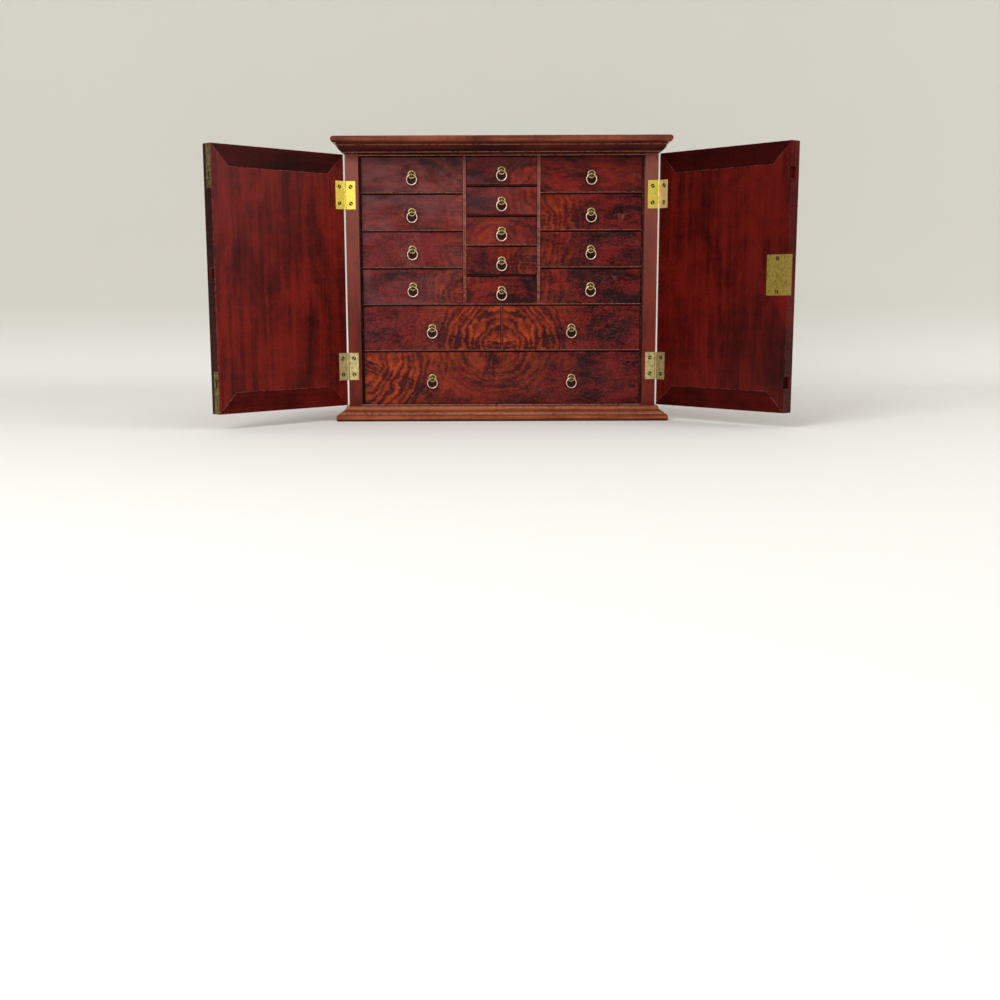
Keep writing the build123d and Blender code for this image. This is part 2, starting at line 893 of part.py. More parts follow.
# ---- drawers and pulls ------------------------------------------------------
def make_pull_plate(x, z):
    """Turned rosette with its post, bored across for the ring."""
    face = Plane(origin=(x, drawer_set_back, z), x_dir=(1, 0, 0), z_dir=(0, -1, 0))
    rim_inner = rosette_radius - rosette_rim_width
    with BuildPart() as pull:
        with BuildSketch(Plane(origin=face.origin, x_dir=(1, 0, 0), z_dir=(0, 0, 1))):
            with BuildLine():
                Polyline((0, 0), (rosette_radius, 0), (rosette_radius, -rosette_thickness))
                ThreePointArc(
                    (rosette_radius, -rosette_thickness),
                    (rosette_radius - rosette_rim_width / 2, -rosette_rim_height),
                    (rim_inner, -rosette_thickness),
                )
                Polyline(
                    (rim_inner, -rosette_thickness),
                    (post_radius + post_foot, -rosette_thickness),
                    (post_radius, -rosette_thickness - post_foot),
                    (post_radius, -eye_reach - post_collar),
                )
                CenterArc((0, -eye_reach - post_collar), post_radius, -90, 90)
                Line((0, -eye_reach - post_collar - post_radius), (0, 0))
            make_face()
        revolve(axis=Axis((x, drawer_set_back, z), (0, 1, 0)))
        across = Plane(origin=(x, drawer_set_back - eye_reach, z), x_dir=(0, 1, 0), z_dir=(1, 0, 0))
        with BuildSketch(across):
            Circle(eye_radius)
        extrude(amount=rosette_radius, both=True, mode=Mode.SUBTRACT)
    return pull.part


def make_ring(x, z):
    """Drop ring of round wire, hanging through the post's eye."""
    eye = Vector(x, drawer_set_back - eye_reach, z)
    with BuildPart() as ring:
        with BuildSketch(Plane(origin=eye, x_dir=(0, 1, 0), z_dir=(1, 0, 0))):
            Circle(ring_wire_radius)
        revolve(axis=Axis(eye - Vector(0, 0, ring_radius), (0, 1, 0)))
    return ring.part


def grown(limits, margin):
    """A board's limits with a margin added all round."""
    outward = (-1, 1) * (len(limits) // 2)
    return [limit + sign * margin for limit, sign in zip(limits, outward)]


def dovetails(x_low, x_high, box_front, z_low, z_high, margin):
    """Row of dovetails on the end of a drawer side; the sockets are the same with a margin."""
    length = drawer_front_thickness - tail_lap
    count = int((z_high - z_low) // tail_pitch)
    step = (z_high - z_low) / count
    wide = tail_width / 2 + margin
    narrow = wide - length * tail_slope
    tip = box_front - length - margin
    with BuildPart() as tails:
        with BuildSketch(Plane.YZ.offset(x_low)):
            for number in range(count):
                middle = z_low + (number + 0.5) * step
                Polygon(
                    (box_front, middle - narrow),
                    (tip, middle - wide),
                    (tip, middle + wide),
                    (box_front, middle + narrow),
                    align=None,
                )
        extrude(amount=x_high - x_low)
    return tails.part


def make_drawer(bay):
    """Drawer box: a front lap-dovetailed to two sides, a back and a bottom let into grooves,
    and the pulls' plates.
    """
    x_low, x_high, z_low, z_high, pulls = bay
    left = x_low + drawer_gap_side
    right = x_high - drawer_gap_side
    low = z_low + drawer_gap_below
    high = z_high - drawer_gap_above
    box_front = drawer_set_back + drawer_front_thickness
    box_back = back_face - drawer_stop_gap
    side_top = high - drawer_side_drop
    inner_left = left + drawer_side_inset + drawer_side_thickness
    inner_right = right - drawer_side_inset - drawer_side_thickness
    bottom_low = low + drawer_bottom_rise
    bottom_high = bottom_low + drawer_bottom_thickness
    inside_back = box_back - drawer_back_gap
    groove_left = inner_left - drawer_groove
    groove_right = inner_right + drawer_groove
    bottom = (groove_left, groove_right, box_front - drawer_groove, box_back, bottom_low, bottom_high)
    back = (
        groove_left,
        groove_right,
        inside_back - drawer_back_thickness,
        inside_back,
        bottom_high + joint_fit,
        side_top - drawer_back_drop,
    )
    with BuildPart() as front:
        add(board(left, right, drawer_set_back, box_front, low, high))
        for x_from, x_to in ((left, inner_left + joint_fit), (inner_right - joint_fit, right)):
            sockets = dovetails(x_from, x_to, box_front, low, side_top, joint_fit)
            add(sockets, mode=Mode.SUBTRACT)
        add(board(*grown(bottom, joint_fit)), mode=Mode.SUBTRACT)
    pieces = [front.part]
    for x_from in (left + drawer_side_inset, inner_right):
        x_to = x_from + drawer_side_thickness
        with BuildPart() as side:
            add(board(x_from, x_to, box_front, box_back, low, side_top))
            add(dovetails(x_from, x_to, box_front, low, side_top, 0))
            add(board(*grown(bottom, joint_fit)), mode=Mode.SUBTRACT)
            add(board(*grown(back, joint_fit)), mode=Mode.SUBTRACT)
        pieces.append(side.part)
    pieces.append(board(*back))
    pieces.append(board(*bottom))
    for x in pulls:
        pieces.append(make_pull_plate(x, (low + high) / 2))
    return pieces


def pull_height(bay):
    """Height of a drawer's pulls, at the middle of its face."""
    z_low, z_high = bay[2], bay[3]
    return (z_low + drawer_gap_below + z_high - drawer_gap_above) / 2


# ---- build ------------------------------------------------------------------
def build_carcase():
    """All that stands still."""
    save("side_left", *make_side(LEFT))
    save("side_right", *make_side(RIGHT))
    floor_low = floor_top - floor_thickness
    save("case_floor", board(-inner_half_width, inner_half_width, 0, back_face, floor_low, floor_top))
    save(
        "case_top",
        board(-inner_half_width, inner_half_width, 0, back_face, top_underside, cornice_board_bottom),
    )
    save(
        "back_panel",
        board(-inner_half_width, inner_half_width, back_face, case_depth, 0, cornice_board_bottom),
    )
    save("plinth", *make_plinth())
    save("cornice", *make_cornice())
    save("cornice_top", make_cornice_board())
    save("partitions", *make_partitions())
    save("drawer_dividers", *make_dividers())
    leaves = []
    pins = []
    for side in (LEFT, RIGHT):
        for centre in hinge_centres:
            leaves.append(make_leaf(side, 0, centre, CASE_KNUCKLES))
            pins.append(make_pin(side, centre))
    save("case_hinge_leaves", *leaves)
    save("hinge_pins", *pins)


def build_door_hinges(side, name):
    """A door's two hinge leaves."""
    leaves = [make_leaf(side, open_angle[side], centre, DOOR_KNUCKLES) for centre in hinge_centres]
    save(f"door_{name}_hinge_leaves", *leaves)


def build_left_door():
    """Left door, with the flush bolts in its meeting edge."""
    pockets = [bolt_pocket(end, direction) for _, end, direction in bolt_ends()]
    cutters = door_hinge_pockets(LEFT) + pockets + [bolt_mortise()]
    panel, lower, upper = make_door_wood(LEFT, cutters)
    save("door_left_panel", panel)
    save("door_left_clamps", lower, upper)
    build_door_hinges(LEFT, "left")
    plates = []
    for name, end, direction in bolt_ends():
        plates.append(make_bolt_plate(end, direction))
        save(f"flush_bolt_{name}", make_flush_bolt(end, direction))
    save("flush_bolt_plates", *plates)


def build_right_door():
    """Right door, with its lock, keyhole and the notches for the bolt knobs."""
    cutters = door_hinge_pockets(RIGHT) + knob_notches() + [lock_pocket()]
    panel, lower, upper = make_door_wood(RIGHT, cutters)
    save("door_right_panel", panel)
    save("door_right_clamps", lower, upper)
    build_door_hinges(RIGHT, "right")
    save("lock_case", make_lock_case())
    save("lock_bolt", make_lock_bolt())
    save("keyhole_escutcheon", make_escutcheon())


def build_drawers():
    """Sixteen drawers and their rings."""
    for name, bay in bays().items():
        save(f"drawer_{name}", *make_drawer(bay))
        z = pull_height(bay)
        for number, x in enumerate(bay[4]):
            suffix = ("_left", "_right")[number] if len(bay[4]) > 1 else ""
            save(f"ring_{name}{suffix}", make_ring(x, z))


os.makedirs("parts", exist_ok=True)
build_carcase()
build_left_door()
build_right_door()
build_drawers()
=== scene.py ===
"""Table-top specimen cabinet in mahogany, dressed for rendering.

One frame for everything: metres, origin in the middle of the case front on the surface
under the plinth, +X to the right, +Y to the back, +Z up. The doors stand open.
"""
from functools import partial
from math import cos, pi, radians, sin, tau

import bmesh
import bpy
from mathutils import Matrix, Vector


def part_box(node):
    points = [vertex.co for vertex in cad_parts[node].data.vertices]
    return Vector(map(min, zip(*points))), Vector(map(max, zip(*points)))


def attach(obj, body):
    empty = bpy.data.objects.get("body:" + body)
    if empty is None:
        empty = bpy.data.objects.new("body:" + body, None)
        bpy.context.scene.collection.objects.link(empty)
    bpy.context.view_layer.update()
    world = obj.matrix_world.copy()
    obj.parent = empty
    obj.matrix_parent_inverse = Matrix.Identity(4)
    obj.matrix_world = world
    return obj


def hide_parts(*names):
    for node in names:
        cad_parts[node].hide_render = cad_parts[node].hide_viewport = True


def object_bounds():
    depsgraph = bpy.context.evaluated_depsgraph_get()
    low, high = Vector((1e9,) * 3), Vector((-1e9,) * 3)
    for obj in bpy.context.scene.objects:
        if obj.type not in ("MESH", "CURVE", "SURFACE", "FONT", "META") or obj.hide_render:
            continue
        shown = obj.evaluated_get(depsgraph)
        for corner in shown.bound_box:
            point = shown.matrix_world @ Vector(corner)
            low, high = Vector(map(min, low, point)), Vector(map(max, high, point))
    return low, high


bl_info = {
    "name": "Specimen cabinet",
    "version": (1, 0, 0),
    "blender": (4, 5, 0),
    "location": "3D View > Sidebar > Cabinet",
    "description": "Builds the dressed pieces of a table-top specimen cabinet over its solids",
    "category": "Object",
}

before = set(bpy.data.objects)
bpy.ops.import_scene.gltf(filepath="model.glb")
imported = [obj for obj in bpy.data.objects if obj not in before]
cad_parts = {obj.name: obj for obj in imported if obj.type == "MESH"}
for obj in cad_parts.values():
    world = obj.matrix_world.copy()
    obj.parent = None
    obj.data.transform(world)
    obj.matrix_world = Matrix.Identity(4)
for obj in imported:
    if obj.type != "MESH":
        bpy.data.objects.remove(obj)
CAD_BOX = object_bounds()
DOOR_TURN = {"left": radians(134.5), "right": radians(-132.8)}
SHARP = radians(32)
BLACK = (0.0, 0.0, 0.0, 1.0)
SMOOTH = {"interpolation_type": "SMOOTHSTEP"}

# Where the solids have what the screws, the dark patches, the painted shade and the wear are placed
# by, in metres.
PIN_ASIDE = 0.2512      # a hinge's pin from the middle of the case
DOOR_WIDTH = 0.2509     # a door's meeting edge from its hinge's pin
FACE_SUNK = 0.0003      # a door's inner face behind its hinge's pin
BOLT_SUNK = 0.0068      # the middle of a flush bolt's plate behind the hinge's pin
LEAF_SCREWS = 0.010     # a leaf's screws from the hinge's pin
BOLT_SCREWS = 0.061     # a bolt plate's screw from the plate's outer end
LOCK_SCREWS = 0.019     # the lock's screws from the door's meeting edge
PULLS_APART = 0.114     # the bottom drawer's pulls from its middle
RING_DROP = 0.0085      # the middle of the dark patch behind a ring, below its rosette's middle
PLINTH_FOOT = 0.0022    # height of the plinth's foot, a dark fillet under a painted contact shadow
BAND = 0.0105           # between two bands of the veneer's figure


def linear(code):
    """A colour written as sRGB hex, turned to linear red, green, blue and alpha."""
    values = []
    for start in (1, 3, 5):
        c = int(code[start : start + 2], 16) / 255
        values.append(c / 12.92 if c <= 0.04045 else ((c + 0.055) / 1.055) ** 2.4)
    return (*values, 1.0)


# ---- settings that a user would change ------------------------------------------
def length_setting(name, description, default):
    """A size in metres."""
    return bpy.props.FloatProperty(
        name=name, description=description, default=default, min=0.0, precision=5, unit="LENGTH"
    )


def colour_setting(name, description, code):
    """A linear colour whose default is written as sRGB hex."""
    return bpy.props.FloatVectorProperty(
        name=name, description=description, default=linear(code), size=4, min=0.0, max=1.0,
        subtype="COLOR",
    )


class CabinetSizes(bpy.types.PropertyGroup):
    """Sizes of what is added to the solids."""

    arris: length_setting("Arris", "Width of the worn chamfer on the case's edges", 0.0005)
    door_arris: length_setting("Door arris", "Width of the chamfer on the doors' boards", 0.0006)
    front_arris: length_setting("Front arris", "The same on drawer fronts and clamps", 0.0004)
    fine_arris: length_setting("Fine arris", "The same on runners and drawer boxes", 0.0003)
    metal_arris: length_setting("Metal arris", "Width of the chamfer on brass edges", 0.00015)
    scratch_line: length_setting("Scratched line", "Width of the line on the partitions", 0.0011)
    screw_radius: length_setting("Screw radius", "Radius of a hinge screw's head", 0.0033)
    small_screw_radius: length_setting("Small screw radius", "Radius of a bolt's screw", 0.002)
    screw_rise: length_setting("Screw rise", "Height of a screw's head over its plate", 0.00008)
    screw_slot: length_setting("Screw slot", "Width of the slot in a screw's head", 0.0009)
    screw_spacing: length_setting("Screw spacing", "Between the screws of a hinge leaf", 0.026)
    lock_screw_spacing: length_setting("Lock screw spacing", "Between the lock's screws", 0.049)


class CabinetColours(bpy.types.PropertyGroup):
    """Colours of the woods and the brass."""

    veneer_dark: colour_setting("Veneer, dark", "Dark clouds of the drawer fronts", "#1d0206")
    veneer_light: colour_setting("Veneer, light", "Light clouds of the drawer fronts", "#761612")
    flame_dark: colour_setting("Flame, dark", "Gaps between the veneer's plumes", "#380809")
    flame_light: colour_setting("Flame, light", "Crests of the veneer's plumes", "#a63d15")
    # Painted sheen: the colour of the grey veil that stands for the polish's reflection on the drawer
    # fronts.
    sheen_colour: colour_setting("Haze", "Bloom in the old polish of the drawer fronts", "#6c4244")
    door_dark: colour_setting("Door, dark", "Dark streaks of the doors", "#320302")
    door_light: colour_setting("Door, light", "Light streaks of the doors", "#78180c")
    case_dark: colour_setting("Case, dark", "Dark streaks of the case", "#3c100d")
    case_light: colour_setting("Case, light", "Light streaks of the case", "#782a1e")
    brass: colour_setting("Brass", "Polished brass", "#f3dc62")


def sizes():
    """The size settings of the scene."""
    return bpy.context.scene.cabinet_sizes


# ---- node trees -----------------------------------------------------------------
def add_node(tree, kind, inputs=(), out=0, stops=(), **settings):
    """Add one node with its settings, links and, for a ramp, its colour stops.

    A shader node's kind goes without its ShaderNode. inputs are values and sockets by name
    or number, or in order: a map range takes its value, from min, from max, to min and to
    max. Gives the output asked for, or the whole node when out is None.
    """
    node = tree.nodes.new(kind if "Node" in kind else f"ShaderNode{kind}")
    for key, value in settings.items():
        setattr(node, key, value)
    for key, value in inputs.items() if isinstance(inputs, dict) else enumerate(inputs):
        if isinstance(value, bpy.types.NodeSocket):
            tree.links.new(value, node.inputs[key])
        else:
            node.inputs[key].default_value = value
    if stops:
        elements = node.color_ramp.elements
        while len(elements) < len(stops):
            elements.new(0.5)
        for element, (position, colour) in zip(elements, stops):
            element.position = position
            element.color = colour
    return node if out is None else node.outputs[out]


def mixed(colour, other, share):
    """A colour part of the way from one to another."""
    return tuple(a + (b - a) * share for a, b in zip(colour, other))


def weighted_sum(tree, total, terms, centre=0.0):
    """A number or socket plus each value's distance from centre times its weight."""
    if centre:
        total -= centre * sum(weight for _, weight in terms)
    for value, weight in terms:
        total = add_node(tree, "Math", (value, weight, total), operation="MULTIPLY_ADD")
    return total


def product(tree, total, *others):
    """A value or socket times every other."""
    for other in others:
        total = add_node(tree, "Math", (total, other), operation="MULTIPLY")
    return total


def surplus(tree, value, level, share):
    """How far a value lies over a level, times the share in which it counts."""
    over = add_node(tree, "Math", (value, level), operation="SUBTRACT")
    return product(tree, over, share)


def layer(tree, place, scale, detail, roughness=0.6, distortion=0.0, turn=0.0, out=0):
    """Noise on a place drawn out by scale, its repeats in a metre, and then turned."""
    place = add_node(tree, "Mapping", {"Vector": place, "Rotation": (0, 0, turn), "Scale": scale})
    looks = {"Detail": detail, "Roughness": roughness, "Distortion": distortion}
    return add_node(tree, "TexNoise", {"Vector": place, "Scale": 1.0, **looks}, out)


def coated(tree, colour, *coats):
    """A colour under coats, each given as the share in which it covers and its own colour."""
    for share, coat in coats:
        colour = add_node(tree, "Mix", {0: share, 6: colour, 7: coat}, 2, data_type="RGBA")
    return colour


def new_material(name):
    """An empty node material and its tree."""
    material = bpy.data.materials.new(name)
    material.use_nodes = True
    material.node_tree.nodes.clear()
    return material, material.node_tree


def surface(tree, height, strength, inputs):
    """The shader of a material with its inputs, uneven by a height, on the output."""
    bump = {"Height": height, "Strength": strength, "Distance": 0.0002}
    normal = add_node(tree, "Bump", bump)
    shader = add_node(tree, "BsdfPrincipled", {**inputs, "Normal": normal})
    add_node(tree, "OutputMaterial", {"Surface": shader}, None)


def figured_wood(
    name, dark, light, worn_and_lit, turn=0.0, along="Z", gloss=0.28, shine=0.12, seed=0.0, streak=0.8,
    cloud=0.9, rubbed_from=0.42, top_sheen=0.0,
):
    """Polished straight-grained mahogany.

    Streaks 8 mm wide run along the grain with fibres of 1.5 mm between them, broad clouds
    darken whole hands of the board, a soft cross ripple gives ribbon figure, and the
    arrises are rubbed pale, which also paints a highlight along them. Faces marked with
    painted shade are nearly black, and a board given a top sheen is paler toward the
    cabinet's top: a painted sheen that stands for the polish's reflection of the room.
    """
    material, tree = new_material(name)
    place = add_node(tree, "TexCoord", out="Object")
    sawn = {"Vector": place, "Rotation": (0, 0, turn), "Location": (seed, seed, seed)}
    turned = add_node(tree, "Mapping", sawn)

    def grain(run, cross, detail, roughness, distortion=0.0):
        """Noise with run repeats in a metre along the grain and cross repeats across it."""
        scale = [run if axis == along else cross for axis in "XYZ"]
        return layer(tree, turned, scale, detail, roughness, distortion)

    tone = weighted_sum(
        tree,
        0.5,
        (
            (grain(5, 130, 4.0, 0.6, 0.3), streak),
            (grain(22, 700, 3.0, 0.65), 0.35),
            (grain(6, 14, 4.0, 0.6, 0.8), cloud),
            (grain(70, 26, 2.0, 0.5, 0.5), 0.25),
        ),
        centre=0.5,
    )
    colour = add_node(tree, "ValToRGB", (tone,), stops=(
        (0.2, mixed(dark, BLACK, 0.3)),
        (0.4, mixed(dark, light, 0.25)),
        (0.56, mixed(dark, light, 0.7)),
        (0.78, light),
    ))
    # Painted sheen: paler toward the cabinet's top, standing for the polish's reflection of the room.
    height = add_node(tree, "SeparateXYZ", (place,), "Z")
    top_sheen_share = add_node(tree, "MapRange", (height, 0.14, 0.42, 0.0, top_sheen))
    patches = layer(tree, turned, (160.0, 160.0, 160.0), 3.0, 0.7)
    # Pale rubbed arrises: wear, and a painted highlight where the edges would catch the light.
    rubbed = add_node(tree, "MapRange", (patches, rubbed_from, rubbed_from + 0.16))
    # Painted shade: marked faces are darkened nearly to black, standing for shadow in recesses, gaps
    # and under parts.
    shaded, arris = [
        add_node(tree, "Attribute", out="Fac", attribute_name=name)
        for name in ("painted_shade", "worn_and_lit")
    ]
    surface(tree, grain(90, 1300, 1.0, 0.5), 0.15, {
        "Base Color": coated(
            tree, colour, (top_sheen_share, linear("#a6685a")), (shaded, linear("#120504")),
            (product(tree, arris, rubbed), worn_and_lit),
        ),
        "Roughness": add_node(tree, "MapRange", (patches, 0.3, 0.7, gloss - 0.05, gloss + 0.08)),
        "IOR": 1.5,
        "Specular IOR Level": shine,
    })
    return material


def plumes(tree, sheet, carry, fire):
    """One crotch of the veneer, where a limb left the trunk.

    sheet is a UV map in metres from the crotch, +X along its dark stem. Bands 10 mm apart
    arch round the crotch, some broader and some finer, and die away where the attribute
    carry, in metres, ends. Short feathers cross them near the crotch and streaks darken
    along the stem. Gives the tone of the figure and the share in which it shows.
    """
    place = add_node(tree, "UVMap", uv_map=sheet)
    drift = layer(tree, place, (26.0, 26.0, 1.0), 3.0, out="Color")
    drift = add_node(tree, "VectorMath", (drift, (0.5, 0.5, 0.5)), operation="SUBTRACT")
    swept = add_node(
        tree, "VectorMath", (drift, (0.026, 0.026, 0.0), place), operation="MULTIPLY_ADD"
    )
    squeezed = add_node(tree, "Mapping", {"Vector": swept, "Scale": (1.0, 0.8, 1.0)})
    distance = add_node(tree, "VectorMath", (squeezed,), "Value", operation="LENGTH")
    x, y, _ = add_node(tree, "SeparateXYZ", (squeezed,), None).outputs
    angle = add_node(tree, "Math", (y, x), operation="ARCTAN2")
    polar = add_node(tree, "CombineXYZ", (angle, distance))
    broad = layer(tree, polar, (0.9, 56.0, 1.0), 1.0, distortion=0.2)
    narrow = layer(tree, polar, (1.8, 140.0, 1.0), 2.0, distortion=0.3)
    feathers = layer(tree, place, (40.0, 420.0, 1.0), 2.0, distortion=0.3, turn=radians(-35))
    stem = layer(tree, place, (14.0, 260.0, 1.0), 3.0, distortion=0.3)
    ragged = layer(tree, place, (70.0, 110.0, 1.0), 4.0, distortion=1.6, turn=0.6)
    wander = layer(tree, place, (30.0, 30.0, 1.0), 3.0)
    aside = add_node(tree, "Math", (y,), operation="ABSOLUTE")
    near, on_stem = [
        add_node(tree, "MapRange", (value, start, end, 1.0, 0.0), **SMOOTH)
        for value, start, end in ((distance, 0.018, 0.04), (aside, 0.002, 0.012))
    ]
    turns = weighted_sum(tree, 0.0, ((distance, tau / BAND), (wander, 12.0)))
    crests = add_node(tree, "Math", (turns,), operation="SINE")
    strength = add_node(tree, "MapRange", (distance, 0.014, 0.034, 0.0, 0.36))
    tone = weighted_sum(tree, 0.49, ((broad, 1.3), (narrow, 0.6), (ragged, 0.8)), centre=0.5)
    tone = weighted_sum(
        tree,
        tone,
        (
            (crests, product(tree, strength, ragged)),
            (surplus(tree, feathers, 0.5, near), 1.6),
            (surplus(tree, stem, 0.66, on_stem), 1.3),
            (near, 0.06),
        ),
    )
    limit, heat = [
        add_node(tree, "Attribute", out="Fac", attribute_name=name)
        for name in (carry, fire)
    ]
    limit = add_node(tree, "Math", (limit, 0.001), operation="MAXIMUM")
    share = add_node(tree, "Math", (distance, limit), operation="DIVIDE")
    share = add_node(tree, "MapRange", (share, 0.25, 1.0, 0.92, 0.0), **SMOOTH)
    return tone, product(tree, share, heat)


def flame_veneer(name, dark, light, flame_dark, flame_light, sheen_colour, worn_and_lit):
    """Crotch mahogany veneer under crazed French polish.

    Plum clouds 60 mm across and smoky streaks carry up to two crotches of orange plumes,
    with mottle of 6 mm where the attribute says so, a grey painted sheen in patches that
    stands for the polish's reflection, hair-fine pale lines where the polish has crazed
    and a dark patch behind each ring.
    """
    material, tree = new_material(name)
    place = add_node(tree, "UVMap", uv_map="sheet")
    clouds = layer(tree, place, (13.0, 22.0, 1.0), 5.0, distortion=0.7)
    smoke = layer(tree, place, (16.0, 62.0, 1.0), 4.0, distortion=1.4)
    mottle = layer(tree, place, (120.0, 170.0, 1.0), 3.0, distortion=1.6)
    pores = layer(tree, place, (260.0, 900.0, 1.0), 2.0)
    patches = layer(tree, place, (14.0, 20.0, 1.0), 3.0, distortion=0.8)
    broken = layer(tree, place, (24.0, 24.0, 1.0), 2.0)
    speckled, sheen_share, apart, arris = [
        add_node(tree, "Attribute", out="Fac", attribute_name=name)
        for name in ("mottle", "sheen", "pulls_apart", "worn_and_lit")
    ]
    ground = weighted_sum(tree, 0.445, ((clouds, 1.4), (smoke, 1.1), (pores, 0.15)), centre=0.5)
    ground = weighted_sum(tree, ground, ((surplus(tree, mottle, 0.5, speckled), 2.3),))
    colour = add_node(tree, "ValToRGB", (ground,), stops=(
        (0.22, mixed(dark, BLACK, 0.3)),
        (0.4, mixed(dark, light, 0.3)),
        (0.55, mixed(dark, light, 0.68)),
        (0.78, light),
    ))
    # Painted sheen: a grey veil in patches, standing for the polish's reflection, strongest on the
    # upper left fronts.
    sheen = add_node(tree, "MapRange", (patches, 0.36, 0.66, 0.25), **SMOOTH)
    colour = coated(tree, colour, (product(tree, sheen, sheen_share), sheen_colour))
    for sheet in ("first", "second"):
        tone, share = plumes(tree, f"crotch_{sheet}", f"carry_{sheet}", f"fire_{sheet}")
        tone = weighted_sum(tree, tone, ((clouds, 0.4),))
        flames = add_node(tree, "ValToRGB", (tone,), stops=(
            (0.44, flame_dark),
            (0.58, mixed(flame_dark, flame_light, 0.25)),
            (0.74, mixed(flame_dark, flame_light, 0.55)),
            (0.98, flame_light),
        ))
        colour = coated(tree, colour, (share, flames))
    crazing = add_node(
        tree, "TexVoronoi", {"Vector": place, "Scale": 70.0}, "Distance",
        feature="DISTANCE_TO_EDGE",
    )
    crazed = add_node(tree, "MapRange", (crazing, 0.0, 0.02, 0.3, 0.0))
    broken = add_node(tree, "MapRange", (broken, 0.5, 0.62))
    beside, above, _ = add_node(
        tree, "SeparateXYZ", (add_node(tree, "UVMap", uv_map="pull"),), None
    ).outputs
    beside = add_node(tree, "Math", (beside,), operation="ABSOLUTE")
    beside = add_node(tree, "Math", (beside, apart), operation="SUBTRACT")
    from_ring = add_node(tree, "CombineXYZ", (beside, above))
    from_ring = add_node(tree, "VectorMath", (from_ring,), "Value", operation="LENGTH")
    # The veneer is darker round the middle of each ring.
    ring_patch = add_node(tree, "MapRange", (from_ring, 0.007, 0.0125, 0.92, 0.0), **SMOOTH)
    # Pale rubbed arrises: wear, and a painted highlight where the edges would catch the light.
    rubbed = add_node(tree, "MapRange", (smoke, 0.48, 0.66, 0.0, 0.4))
    surface(tree, pores, 0.06, {
        "Base Color": coated(
            tree, colour, (product(tree, crazed, broken), linear("#a86a58")),
            (ring_patch, linear("#1c0a06")), (product(tree, arris, rubbed), worn_and_lit),
        ),
        "Roughness": add_node(tree, "MapRange", (mottle, 0.3, 0.7, 0.2, 0.32)),
        "IOR": 1.5,
        "Specular IOR Level": 0.14,
    })
    return material


def aged_brass(name, bright, dull, roughness, stain_from, stain_to, scratches=0.0):
    """Brass whose raised parts keep a polish while hollows and patches darken to olive; the same
    olive is painted shade on the turned-away faces of fittings.
    """
    material, tree = new_material(name)
    place = add_node(tree, "TexCoord", out="Object")
    blotches = layer(tree, place, (190.0, 190.0, 190.0), 5.0, 0.65)
    fine = layer(tree, place, (900.0, 900.0, 900.0), 3.0, 0.7)
    stain = add_node(tree, "MapRange", (blotches, stain_from, stain_to))
    patina_and_shade = add_node(tree, "Attribute", out="Fac", attribute_name="patina_and_shade")
    stain = add_node(tree, "Math", (stain, patina_and_shade), operation="MAXIMUM")
    surface(tree, fine, 0.12 + scratches, {
        "Base Color": coated(tree, bright, (stain, dull)),
        "Roughness": add_node(tree, "MapRange", (blotches, 0.3, 0.7, roughness, roughness + 0.22)),
        "Metallic": 0.88,
    })
    return material


MATERIALS = {}


